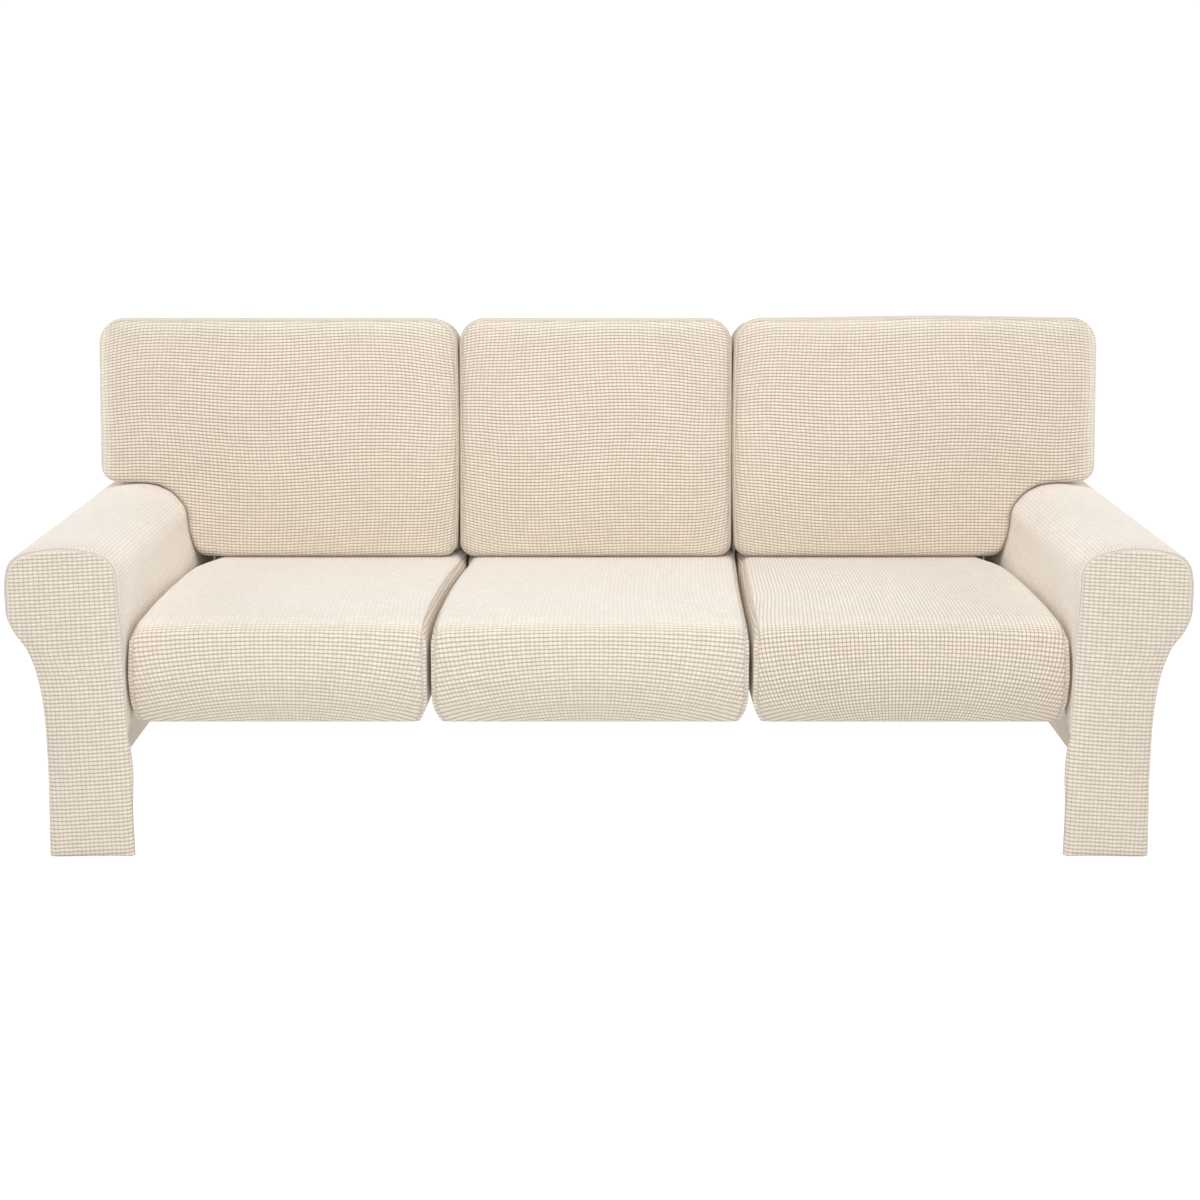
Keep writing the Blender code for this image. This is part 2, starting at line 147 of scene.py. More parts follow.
def seen_and_lit(tree, socket, seen, light):
    """A strength of one value where the camera looks straight at it, and another for its light."""
    path, strength = tree.nodes.new("ShaderNodeLightPath"), tree.nodes.new("ShaderNodeMapRange")
    strength.inputs["To Min"].default_value, strength.inputs["To Max"].default_value = light, seen
    tree.links.new(path.outputs["Is Camera Ray"], strength.inputs["Value"])
    tree.links.new(strength.outputs["Result"], socket)


seen_and_lit(world.node_tree, background["Strength"], WORLD_SEEN, WORLD_LIGHT)
seen_and_lit(white.node_tree, paint["Emission Strength"], FLOOR_SEEN, FLOOR_LIGHT)
bpy.context.scene.world = world
bpy.context.scene.view_settings.view_transform = "Standard"
print("the floor and the world light with strengths", FLOOR_LIGHT, "and", WORLD_LIGHT)

# %% Lamps
def softbox(name, place, aim, size, power):
    """A square area lamp at a place, turned to face a point. Both are in the set's measure."""
    lamp = bpy.data.lights.new(name, "AREA")
    lamp.shape, lamp.size, lamp.energy = "SQUARE", size, power
    stand = bpy.data.objects.new(name, lamp)
    stand.location = np.array(place) + SET
    across, deep, high = np.array(aim) - np.array(place)
    tilt = math.atan2(math.hypot(across, deep), -high)
    stand.rotation_euler = (tilt, 0, math.atan2(deep, across) - math.pi / 2)
    bpy.context.scene.collection.objects.link(stand)
    print(f"{name}: {power} W from a square of {size} m")


softbox("top light", place=(0.0, -0.8, 3.6), aim=(0.0, 0.4, 0.4), size=3.0, power=72)
softbox("front light", place=(0.0, -4.2, 1.6), aim=(0.0, 0.2, 0.4), size=2.8, power=58)
for side, name in ((-1, "left light"), (1, "right light")):
    softbox(name, place=(side * 3.4, 1.3, 1.2), aim=(side * 1.1, 0.5, 0.6), size=1.8, power=34)

# %% [markdown]
# ## The jacquard
#
# The cloth has a small raised check: rounded cells, 9 mm apart across and 7.3 mm up, between sunken
# grooves, of which the level ones are deeper and darker. It reads the sheet's own UV map, which is
# measured in metres along the cloth, so it bends and stretches as the cloth does. A node group makes
# the check once: it gives a height, a mask of the grooves and a small change of tone from cell to
# cell. The material colours the grooves by that mask, partly for their beige threads and partly as
# painted shade in them, strongest in the level ones, where light from above reaches least.

# %% A small language for nodes
def tree_tools(tree):
    """Two helpers for one node tree: one adds a node with its inputs, the other a step of maths."""

    def add(kind, *values, **settings):
        """Each value is a number for an input, or another node's output to link to it."""
        node = tree.nodes.new(kind)
        for setting, value in settings.items():
            setattr(node, setting, value)
        for socket, value in enumerate(values):
            if hasattr(value, "is_linked"):
                tree.links.new(value, node.inputs[socket])
            elif value is not None:
                node.inputs[socket].default_value = value
        return node

    def maths(operation, *values):
        """The output of one step of maths on one to three values."""
        return add("ShaderNodeMath", *values, operation=operation).outputs[0]

    return add, maths


def new_group(name, vector, numbers, outputs):
    """A node group that takes a vector and numbers, with its helpers and its two end nodes' sockets."""
    group = bpy.data.node_groups.new(name, "ShaderNodeTree")
    group.interface.new_socket(vector, in_out="INPUT", socket_type="NodeSocketVector")
    for number, start in numbers.items():
        socket = group.interface.new_socket(number, in_out="INPUT", socket_type="NodeSocketFloat")
        socket.default_value = start
    for output in outputs:
        group.interface.new_socket(output, in_out="OUTPUT", socket_type="NodeSocketFloat")
    add, maths = tree_tools(group)
    return group, add, maths, add("NodeGroupInput").outputs, add("NodeGroupOutput").inputs


# %% The raised check
PITCHES = {"Pitch Across": 0.009, "Pitch Up": 0.0073}
# A groove's depth also sets how much of the dark groove colour it gets, and that colour is partly painted
# shade.
GROOVES = {"Columns": 0.55, "Rows": 0.9}  # depth of each, unless a material says otherwise
CELL_WIDE, CELL_HIGH = 0.50, 0.42  # the flat share of a cell, before its grooves start
WOBBLE, WOBBLE_SCALE, WOBBLE_DETAIL = 0.0016, 38.0, 1.0  # how unevenly the rows and columns run
RIB_PITCH, RIB_HEIGHT = 0.0012, 0.035


def raised_check():
    """Node group of the check.

    Each axis is divided by its pitch. The fraction's distance from the middle of a cell climbs from
    0 to 1 at the groove, and a smooth step turns that into a groove of a given strength. The two
    grooves together are 1 - (1 - one) x (1 - other), and the height is 1 minus that, plus fine ribs.
    """
    sockets = PITCHES | GROOVES
    group, add, maths, given, out = new_group("raised check", "UV", sockets, ("Height", "Groove", "Tone"))
    wobble = add("ShaderNodeTexNoise", given["UV"], noise_dimensions="2D")
    wobble.inputs["Scale"].default_value = WOBBLE_SCALE
    wobble.inputs["Detail"].default_value = WOBBLE_DETAIL
    centred = add("ShaderNodeVectorMath", wobble.outputs["Color"], (0.5, 0.5, 0.5), operation="SUBTRACT")
    shift = add("ShaderNodeVectorMath", centred.outputs[0], (WOBBLE, WOBBLE, 0), operation="MULTIPLY")
    moved = add("ShaderNodeVectorMath", given["UV"], shift.outputs[0], operation="ADD")
    place = add("ShaderNodeSeparateXYZ", moved.outputs[0]).outputs

    left_over, cells = [], []
    for axis, pitch, depth, flat in zip((0, 1), PITCHES, GROOVES, (CELL_WIDE, CELL_HIGH)):
        count = maths("DIVIDE", place[axis], given[pitch])
        cells.append(maths("FLOOR", count))
        side = maths("ABSOLUTE", maths("SUBTRACT", maths("FRACT", count), 0.5))
        step = add("ShaderNodeMapRange", side, flat / 2, 0.5, interpolation_type="SMOOTHSTEP")
        groove = maths("MULTIPLY", step.outputs[0], given[depth])
        left_over.append(maths("SUBTRACT", 1.0, groove))
    raised = maths("MULTIPLY", *left_over)
    ribs = maths("SINE", maths("MULTIPLY", place[1], 2 * math.pi / RIB_PITCH))
    cell = add("ShaderNodeCombineXYZ", *cells, 0.0)
    chance = add("ShaderNodeTexWhiteNoise", cell.outputs[0], noise_dimensions="2D")
    group.links.new(maths("ADD", raised, maths("MULTIPLY", ribs, RIB_HEIGHT)), out["Height"])
    group.links.new(maths("SUBTRACT", 1.0, raised), out["Groove"])
    group.links.new(maths("SUBTRACT", chance.outputs["Value"], 0.5), out["Tone"])
    return group


check = raised_check()
print("node group:", check.name, "with", len(check.nodes), "nodes")

# %% [markdown]
# ## Sewing lines
#
# At a seam the cloth turns in, and the colour darkens along it in a fine line of painted shade, for the
# shadow in that crease. A line of stitches runs just inside it, and pulls the cloth into small
# dimples, which are darkened as painted shade too. A second UV map holds the run along the nearest
# seam and the distance from it, so one more node group can set both, whatever way the seam turns.

# %% The stitch line
STITCH_LENGTH, STITCH_INSET = 0.0042, 0.0026
STITCH_ENDS = (0.40, 0.28)  # from a stitch's middle, in its lengths: where it is gone, and where full
STITCH_SIDES = (0.0008, 0.0003)  # the same from the line of the stitches, in metres
SEAM_LINE = 0.0016  # where the seam's line of painted shade ends, from the edge of the sheet
SOFT_SEAM = 0.0008  # added to the distance on the backs and seats, whose seams hardly show


def stitch_line():
    """Node group: 1 in each stitch, by two smooth windows, and 1 on the line of the seam itself."""
    group, add, maths, given, out = new_group("stitch line", "Seam UV", {}, ("Stitch", "Line"))
    place = add("ShaderNodeSeparateXYZ", given["Seam UV"]).outputs
    along = maths("FRACT", maths("DIVIDE", place[0], STITCH_LENGTH))
    middle = maths("ABSOLUTE", maths("SUBTRACT", along, 0.5))
    beside = maths("ABSOLUTE", maths("SUBTRACT", place[1], STITCH_INSET))
    run, width, line = (
        add("ShaderNodeMapRange", value, *ends, interpolation_type="SMOOTHSTEP").outputs[0]
        for value, ends in ((middle, STITCH_ENDS), (beside, STITCH_SIDES), (place[1], (SEAM_LINE, 0.0)))
    )
    group.links.new(maths("MULTIPLY", run, width), out["Stitch"])
    group.links.new(line, out["Line"])
    return group


stitches = stitch_line()
print("node group:", stitches.name, "with", len(stitches.nodes), "nodes")

# %% [markdown]
# ## One cloth for all the panels
#
# The whole set is cut from one cloth, so it has one material. Three numbers stored on each sheet's
# points say how strongly the cloth shows its check, its level grooves and its upright ones there.
# Where the level grooves are faint the cloth's face is paler too. This is partly because cloth pulled
# flat shows its pale ground, and partly a painted highlight, since those places are mostly the tops,
# lit from above. The grooves' dark colour is partly their beige threads and partly painted shade.
# Colour and bump both follow the check, broad soft noise keeps large areas from looking printed, and
# a little sheen stands for the short fibres on its surface.

# %% The cream jacquard
CELL_CREAM = (0.916, 0.826, 0.722, 1)
# Colour of the grooves: partly their beige threads, partly painted shade in the sunken grooves.
GROOVE_AND_SHADE_CREAM = (0.430, 0.335, 0.225, 1)
# Paler face where the level grooves are faint: partly cloth pulled flat, partly a painted highlight, as
# that is mostly on the tops, lit from above.
FLAT_AND_LIT_CREAM = (0.930, 0.870, 0.795, 1)
FLAT_AND_LIT_FACE, FULL_FACE = 0.2, 0.7  # level grooves' strength where the face is FLAT_AND_LIT_CREAM and CELL_CREAM
# Painted shade: these shares darken the colour in the seam's line and in the stitches' dimples.
STITCH_SHADE, SEAM_SHADE = 0.4, 0.5
CELL_TONE, CLOUD_TONE, CLOUD_SCALE = 0.07, 0.06, 7.0
CHECK_RELIEF, STITCH_RELIEF = 0.0008, 0.0005
SURFACE = {"Roughness": 0.9, "Specular IOR Level": 0.25, "Sheen Weight": 0.18, "Sheen Roughness": 0.5}


def cream_jacquard():
    """The cloth: colour between cell and groove by the mask, times tone and broad noise."""
    cloth = bpy.data.materials.new("cream jacquard")
    cloth.use_nodes = True
    add, maths = tree_tools(cloth.node_tree)
    link = cloth.node_tree.links.new
    shader = cloth.node_tree.nodes["Principled BSDF"].inputs
    for name, value in SURFACE.items():
        shader[name].default_value = value

    def attribute(name):
        """A number that the sheet keeps at each of its points."""
        return add("ShaderNodeAttribute", attribute_name=name).outputs["Fac"]

    def blend(factor, first, second):
        """The mix node's colour sockets are its inputs 6 and 7 and its output 2."""
        return add("ShaderNodeMix", factor, *[None] * 5, first, second, data_type="RGBA").outputs[2]

    uv = add("ShaderNodeUVMap", uv_map="weave").outputs[0]
    shown = attribute("check")
    levels = maths("MULTIPLY", attribute("levels"), shown)
    pattern = add("ShaderNodeGroup", node_tree=check)
    link(uv, pattern.inputs["UV"])
    link(maths("MULTIPLY", attribute("uprights"), shown), pattern.inputs["Columns"])
    link(levels, pattern.inputs["Rows"])
    sewing = add("ShaderNodeGroup", node_tree=stitches)
    link(add("ShaderNodeUVMap", uv_map="seam").outputs[0], sewing.inputs["Seam UV"])
    stitch = sewing.outputs["Stitch"]

    # Painted shade along the seam and in the stitches.
    seam = maths("MULTIPLY", sewing.outputs["Line"], SEAM_SHADE)
    sewing_shade = maths("ADD", maths("MULTIPLY", stitch, STITCH_SHADE), seam)
    # Share of the dark colour: the grooves, partly painted shade, plus the painted shade of the seams and
    # stitches.
    grooves = maths("MINIMUM", maths("ADD", pattern.outputs["Groove"], sewing_shade), 1.0)
    # Paler where the level grooves are faint, partly as a painted highlight on the tops.
    full = add("ShaderNodeMapRange", levels, FLAT_AND_LIT_FACE, FULL_FACE).outputs[0]
    colour = blend(grooves, blend(full, FLAT_AND_LIT_CREAM, CELL_CREAM), GROOVE_AND_SHADE_CREAM)
    broad = add("ShaderNodeTexNoise", uv)
    broad.inputs["Scale"].default_value = CLOUD_SCALE
    tone = maths("MULTIPLY", pattern.outputs["Tone"], maths("MULTIPLY", shown, CELL_TONE))
    cloud = maths("MULTIPLY", maths("SUBTRACT", broad.outputs[0], 0.5), CLOUD_TONE)
    toned = add("ShaderNodeVectorMath", colour, operation="SCALE")
    link(maths("ADD", 1.0, maths("ADD", tone, cloud)), toned.inputs["Scale"])
    link(toned.outputs[0], shader["Base Color"])

    relief = maths("MULTIPLY", pattern.outputs["Height"], CHECK_RELIEF)
    relief = maths("SUBTRACT", relief, maths("MULTIPLY", stitch, STITCH_RELIEF))
    bump = add("ShaderNodeBump")
    bump.inputs["Distance"].default_value = 1.0
    link(relief, bump.inputs["Height"])
    link(bump.outputs[0], shader["Normal"])
    return cloth


cloth = cream_jacquard()
print("material:", cloth.name)

# %% [markdown]
# ## Lines and the sheets they make
#
# A panel starts as a line in a plane: the outline of a back, the section of a seat or of an arm.
# Corners are turned by arcs, or a smooth curve is led through the points. The line is then cut anew
# at even steps, and softened where cloth can't hold a sharp crease.

# %% Lines in a plane
ARC_POINTS = 13


def rounded(points, radii, closed):
    """Straight sides joined by arcs, and for each point its place between the rows of the table.

    An arc's centre lies on the corner's bisector, at radius / sin(half the corner's angle).
    """
    points, radii = np.array(points, float), np.array(radii, float)
    line, rows = [], []
    for i, (corner, radius) in enumerate(zip(points, radii)):
        if radius == 0 or (not closed and i in (0, len(points) - 1)):
            line.append(corner[None])
            rows.append([i])
            continue
        back, on = points[i - 1] - corner, points[(i + 1) % len(points)] - corner
        back, on = back / np.linalg.norm(back), on / np.linalg.norm(on)
        half = math.acos(back @ on) / 2
        centre = corner + (back + on) / np.linalg.norm(back + on) * radius / math.sin(half)
        start = corner + back * radius / math.tan(half) - centre
        turn = math.copysign(math.pi - 2 * half, on[0] * back[1] - on[1] * back[0])
        angles = np.linspace(0, turn, ARC_POINTS)[:, None]
        line.append(centre + start * np.cos(angles) + np.array([-start[1], start[0]]) * np.sin(angles))
        rows.append(np.full(ARC_POINTS, i))
    return np.concatenate(line), np.concatenate(rows).astype(float)


def curve_through(points, spacing):
    """A smooth curve: between points, the cubic whose ends have the slopes of the parabolas there."""
    points = np.array(points, float)
    along = np.concatenate([[0], np.cumsum(np.linalg.norm(np.diff(points, axis=0), axis=1))])
    slopes = np.gradient(points, along, axis=0)
    at = np.linspace(0, along[-1], 1 + math.ceil(along[-1] / spacing))
    i = np.clip(np.searchsorted(along, at, side="right") - 1, 0, len(along) - 2)
    step = (along[i + 1] - along[i])[:, None]
    t = (at - along[i])[:, None] / step
    from_start = (2 * t**3 - 3 * t**2 + 1) * points[i] + (t**3 - 2 * t**2 + t) * step * slopes[i]
    from_end = (3 * t**2 - 2 * t**3) * points[i + 1] + (t**3 - t**2) * step * slopes[i + 1]
    return from_start + from_end


corner_line, _ = rounded([(0, 0), (1, 0), (1, 1)], [0, 0.5, 0], closed=False)
print("a rounded corner has", len(corner_line), "points, and its middle is", corner_line[7].round(3))

# %% Cutting a line anew, and softening it
def respaced(line, spacing, *extra):
    """Cuts a line anew: the steps' lengths over the spacing add up to a count, cut at whole numbers."""
    spacing = np.broadcast_to(spacing, len(line))
    steps = np.linalg.norm(np.diff(line, axis=0), axis=1) * 2 / (spacing[1:] + spacing[:-1])
    count = np.concatenate([[0], np.cumsum(steps)])
    at = np.linspace(0, count[-1], 1 + math.ceil(count[-1]))
    cut = [np.interp(at, count, column) for column in (*line.T, *extra)]
    width = line.shape[1]
    return (np.stack(cut[:width], axis=1), *cut[width:])


def respaced_ring(line, spacing):
    """The same for a closed line, whose last point isn't its first one over again."""
    return respaced(np.concatenate([line, line[:1]]), spacing)[0][:-1]


def softened(values, points_wide, closed):
    """A running mean under a bell-shaped window. An open line is first continued past its ends."""
    window = np.hanning(points_wide + 2)[1:-1]
    reach = points_wide // 2
    if closed:
        padded = np.concatenate([values[-reach:], values, values[:reach]])
    else:
        before, after = 2 * values[0] - values[reach:0:-1], 2 * values[-1] - values[-2 : -reach - 2 : -1]
        padded = np.concatenate([before, values, after])
    columns = padded.reshape(len(padded), -1).T
    mean = np.stack([np.convolve(column, window / window.sum(), "valid") for column in columns], axis=1)
    return mean.reshape(-1, *values.shape[1:])


corner_line = respaced(corner_line, 0.1)[0]
print("cut anew every 0.1 m or less, the same line has", len(corner_line), "points")

# %% Measures along a line, and soft steps
def inward(line, closed):
    """Unit normals on the left of the line, which point into an outline that runs anticlockwise."""
    if closed:
        along = np.roll(line, -1, axis=0) - np.roll(line, 1, axis=0)
    else:
        along = np.gradient(line, axis=0)
    along = along / np.linalg.norm(along, axis=1, keepdims=True)
    return np.stack([-along[:, 1], along[:, 0]], axis=1)


def run_along(grid, axis):
    """Distance along the rows or the columns of a grid, from its first point."""
    steps = np.linalg.norm(np.diff(grid, axis=axis), axis=2)
    return np.insert(np.cumsum(steps, axis=axis), 0, 0, axis=axis)


def rise(distance, reach):
    """0 at an edge, climbing towards 1 well inside it: 1 - exp(-distance / reach)."""
    return 1 - np.exp(-np.maximum(distance, 0) / reach)


def smooth_step(value, start, end):
    """0 up to the start and 1 from the end on, with level ends: 3 t squared - 2 t cubed."""
    t = np.clip((value - start) / (end - start), 0, 1)
    return t * t * (3 - 2 * t)


def bell(value, middle, reach):
    """1 at the middle, falling off as exp(-(distance / reach) squared)."""
    return np.exp(-(((value - middle) / reach) ** 2))


print("a quarter of the way up, a soft step stands at", smooth_step(0.25, 0, 1))

# %% [markdown]
# A sheet is a grid of points. A ring's last column joins its first, and a face that runs out from a
# middle point ends there in a fan. The flow of the face normals away from a point inside shows
# whether the sheet is inside out. The UV maps get one column more than a ring has points, so that
# the weave has no jump where the ring closes.

# %% Faces and rings of a grid
def grid_faces(rows, columns, width):
    """Corners of face (r, c): the points (r, c), (r, c + 1), (r + 1, c + 1) and (r + 1, c)."""
    r, c = np.mgrid[0:rows, 0:columns].reshape(2, -1)
    here, beside = r * width + c, r * width + (c + 1) % width
    return np.stack([here, beside, beside + width, here + width], axis=1)


def fan_faces(columns, width, middle):
    """Triangles from the middle point to each step of the first row."""
    first = np.arange(columns)
    return np.stack([np.full(columns, middle), (first + 1) % width, first], axis=1)


def with_first(grid):
    """A ring's grid with its first column once more at its end."""
    return np.concatenate([grid, grid[:, :1]], axis=1)


def rim_map(grid):
    """UV of a face in rings: the run along its rim, which is the last ring, and the distance from it."""
    ring = with_first(grid)
    wide = run_along(ring[::-1], 0)[::-1]
    return np.stack([np.broadcast_to(run_along(ring, 1)[-1], wide.shape), wide], axis=-1)


print("two rings of 4 points have the faces", grid_faces(1, 4, 4).tolist())


def sew_sheet(name, grid, weave, seam, inside, size, closed=False, middle=None, **strengths):
    rows, columns = grid.shape[:2]
    widths = columns, weave.shape[1]
    across = columns if closed else columns - 1
    faces, uv_faces = (grid_faces(rows - 1, across, width) for width in widths)
    fan, uv_fan = np.empty((0, 3), int), np.empty((0, 3), int)
    points = grid.reshape(-1, 3)
    maps = {"weave": weave.reshape(-1, 2), "seam": seam.reshape(-1, 2)}
    if middle is not None:
        fan, uv_fan = (fan_faces(columns, width, rows * width) for width in widths)
        points = np.concatenate([points, [middle]])
        maps = {key: np.concatenate([uv, [uv[: widths[1]].mean(axis=0)]]) for key, uv in maps.items()}

    sides = points[faces[:, 2]] - points[faces[:, 0]], points[faces[:, 3]] - points[faces[:, 1]]
    areas = np.cross(*sides) / 2
    if (areas * (points[faces].mean(axis=1) - inside)).sum() < 0:
        faces, uv_faces, fan, uv_fan = (table[:, ::-1] for table in (faces, uv_faces, fan, uv_fan))

    mesh = bpy.data.meshes.new(name)
    mesh.from_pydata((points + SET).tolist(), [], faces.tolist() + fan.tolist())
    mesh.shade_smooth()
    mesh.materials.append(cloth)
    for key, uv in maps.items():
        laid = np.concatenate([uv[uv_faces].reshape(-1, 2), uv[uv_fan].reshape(-1, 2)])
        mesh.uv_layers.new(name=key).data.foreach_set("uv", laid.ravel())
    for key in ("check", "levels", "uprights"):
        values = np.broadcast_to(strengths[key], (rows, columns)).ravel()
        if middle is not None:
            values = np.append(values, values[:columns].mean())
        mesh.attributes.new(key, "FLOAT", "POINT").data.foreach_set("value", values.astype(np.float32))

    panel = bpy.data.objects.new(f"{name}_cloth", mesh)
    bpy.context.scene.collection.objects.link(panel)
    thickness = panel.modifiers.new("thickness", "SOLIDIFY")
    thickness.thickness, thickness.offset = CLOTH, -1
    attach(panel, "root")
    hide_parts(name)


# %% [markdown]
# ## The arms' section
#
# An arm cover is one long body panel, from its hem inside, over the roll and down to the floor, and
# a scroll-shaped front. Both follow one section, read from the photograph point by point. A curve
# through the points gives the neck under the roll and the flat inner face. The covers of the outer
# backs lie on the same curve, so it comes first.

# %% Section of the right arm
ARM_HEM, ARM_HEM_REAR = 0.238, 0.267
ARM_SECTION_STEP = 0.002
arm_points = (
    (1.0480, 0.0000), (1.0410, 0.2000), (1.0420, 0.2830), (1.0470, 0.3350), (1.0555, 0.3750),
    (1.0675, 0.4070), (1.0870, 0.4360), (1.0995, 0.4680), (1.1007, 0.5030), (1.0985, 0.5400),
    (1.0890, 0.5710), (1.0740, 0.5850), (1.0500, 0.5945), (1.0200, 0.6000), (0.9890, 0.6030),
    (0.9550, 0.6000), (0.9250, 0.5925), (0.9020, 0.5810), (0.8895, 0.5620), (ARM_INNER, 0.5350),
    (ARM_INNER, 0.4000), (ARM_INNER, ARM_HEM), (ARM_INNER, 0.1200), (ARM_INNER, 0.0000),
)
arm_section = curve_through(arm_points, ARM_SECTION_STEP)
arm_section[:, 0] = np.maximum(arm_section[:, 0], ARM_INNER)
arm_section = softened(arm_section, points_wide=9, closed=False)
print("the arm's section is", round(float(run_along(arm_section[None], 1).max()), 3), "m long")

# %% [markdown]
# The inner face isn't a plane. Towards the rear the seats push less, so it leans in at their level
# and its shoulder is rounder, and near the front the end of a seat presses into it. The arm, the
# seat beside it and the back above it all use the same shift, and so they stay clear of each other.

# %% How far the inner face of an arm stands in
SEAT_LINE_END = 0.600  # deep, where the lean and the lines between the seats stop growing
ARM_LEAN, LEAN_TOP = 0.054, (0.420, 0.530)  # the lean fades between these heights
SHOULDER_EASE, SHOULDER_FROM = 0.013, 0.1
SHOULDER_HIGH, SHOULDER_REACH, SHOULDER_TOP = 0.580, 0.026, (0.594, 0.602)
SEAT_PRESS, PRESS_FROM = 0.006, (0.012, 0.034)
PRESS_DEEP, PRESS_HIGH, PRESS_REACH = 0.05, 0.335, 0.07


def stands_in(deep, high):
    """Lean x deep squared at the seats' level, less the shoulder's ease above and the press in front."""
    lean = ARM_LEAN * np.minimum(deep, SEAT_LINE_END) ** 2 * (1 - smooth_step(high, *LEAN_TOP))
    ease = SHOULDER_EASE * smooth_step(deep, SHOULDER_FROM, SEAT_LINE_END)
    ease = ease * bell(high, SHOULDER_HIGH, SHOULDER_REACH) * (1 - smooth_step(high, *SHOULDER_TOP))
    return lean - ease - seat_press(deep, high)


def seat_press(deep, high):
    """A dent behind the front edge of the arm, where the seat's end is fullest."""
    press = SEAT_PRESS * smooth_step(deep, *PRESS_FROM)
    return press * bell(deep, PRESS_DEEP, PRESS_REACH) * bell(high, PRESS_HIGH, PRESS_REACH)


print("half way back, at the seats' level, it stands in by", round(float(stands_in(0.45, 0.4)), 4), "m")

# %% [markdown]
# ## The backs
#
# Each back cover is a front panel and a boxing band, joined by a seam on the rounded edge. The front
# leans back and swells most in its middle. The two outer ones reach over the arm with an ear, and
# their outline follows the roll below it. The face runs out from a middle point in rings, because
# only rings can follow that notch, and each ring is a share of the outline.

# %% Measures of the backs
BACK_FRONT, BACK_LEAN, BACK_THICK = 0.612, 0.177, 0.190
BACK_TOP_RADIUS, BACK_FOOT_RADIUS, BACK_REAR_RADIUS = 0.054, 0.030, 0.036
BACK_EDGE_INSET, BACK_EDGE_DEPTH = 0.022, 0.026  # half axes of the rounded edge
BACK_NOTCH_EDGE = 0.7  # share of them that is left beside the arm
BACK_HEM_SHARE = 0.08  # the hem turns in by this share of the way to the middle
BACK_BOW = 0.006  # an outer cover draws in by this at both ends of its inner side
EAR_OUT_LEFT, EAR_OUT_RIGHT = 1.073, 1.068
EAR_FOOT, EAR_FOOT_RADIUS, EAR_CLEARANCE = 0.6065, 0.034, 0.0014
HEEL, HEEL_RADIUS = 0.864, 0.034  # across, where the foot turns up beside the arm
ROLL_END, ROLL_FOOT = 0.989, 0.495  # across and high, ends of the roll that the notch follows
BACK_TOP_DROP, DROP_FROM = 0.005, 0.75
FULLEST, FULLEST_REACH = 0.72, 0.24  # across, where the top of the right cover stands highest
BACK_CROWN_RISE, BACK_TOP_FALL = 0.0125, 0.13
CROWN_FROM, CROWN_TO = 0.78, BACK_HIGH - 0.005
SLACK, SLACK_ACROSS, SLACK_UP = 0.0012, 0.29, 0.9  # a slow wave and its lengths
SLACK_SHIFT = 2  # radians, from one cover to the next
BACK_SWELL_REACH = 0.10
BACK_MIDDLE = (BACK_LOW + BACK_HIGH) / 2
SEAM_TURN = math.radians(45)  # the seam's place on the rounded edge
print("the backs lean by", round(math.degrees(math.atan(BACK_LEAN)), 1), "degrees")

# %% Outline of a back
def top_drop(side, across, high):
    """How far the top line lies below the highest point of the set: only the right cover is fuller."""
    full = bell(across, FULLEST, FULLEST_REACH) if side > 0 else 0
    return BACK_TOP_DROP * (1 - full) * smooth_step(high, DROP_FROM, BACK_HIGH)


def back_outline(side, inner, outer):
    """Outline of a back from the front, anticlockwise, as for the right arm, 6 mm from point to point."""
    if side:
        clear = arm_section - EAR_CLEARANCE * inward(arm_section, closed=False)
        roll = clear[(clear[:, 0] < ROLL_END) & (clear[:, 1] > ROLL_FOOT)][::-1]
        roll[:, 0] -= stands_in(SEAT_LINE_END, roll[:, 1])
        roll = roll[::6]
        corners = [(inner, BACK_LOW), (HEEL, BACK_LOW), *roll, (outer, EAR_FOOT), (outer, BACK_HIGH)]
        radii = [BACK_FOOT_RADIUS, HEEL_RADIUS] + [0] * len(roll) + [EAR_FOOT_RADIUS, BACK_TOP_RADIUS]
    else:
        corners = [(inner, BACK_LOW), (outer, BACK_LOW), (outer, BACK_HIGH)]
        radii = [BACK_FOOT_RADIUS] * 2 + [BACK_TOP_RADIUS]
    outline, _ = rounded(corners + [(inner, BACK_HIGH)], radii + [BACK_TOP_RADIUS], closed=True)
    outline = softened(respaced_ring(outline, 0.002), points_wide=9, closed=True)
    outline[:, 1] -= top_drop(side, *outline.T)
    if side:
        from_middle = (outline[:, 1] - BACK_MIDDLE) / ((BACK_HIGH - BACK_LOW) / 2)
        outline[:, 0] += BACK_BOW * from_middle**2 * (outer - outline[:, 0]) / (outer - inner)
    return respaced_ring(outline, 0.006)


def squared(outline, feet, share):
    """Fills out foot corners by a share: a point of the arc moves away from its centre to the square."""
    for across, sign in feet:
        arm = outline - (across, BACK_LOW + BACK_FOOT_RADIUS)
        reach = np.maximum(np.abs(arm).max(axis=-1, keepdims=True), 1e-9)
        fill = np.maximum(BACK_FOOT_RADIUS / reach - 1, 0) * share
        turns = (arm[..., :1] * sign > 0) & (arm[..., 1:] < 0)
        outline = outline + np.where(turns, arm * fill, 0)
    return outline


print("the right back's outline has", len(back_outline(1, BACK_MIDDLE_RIGHT, EAR_OUT_RIGHT)), "points")

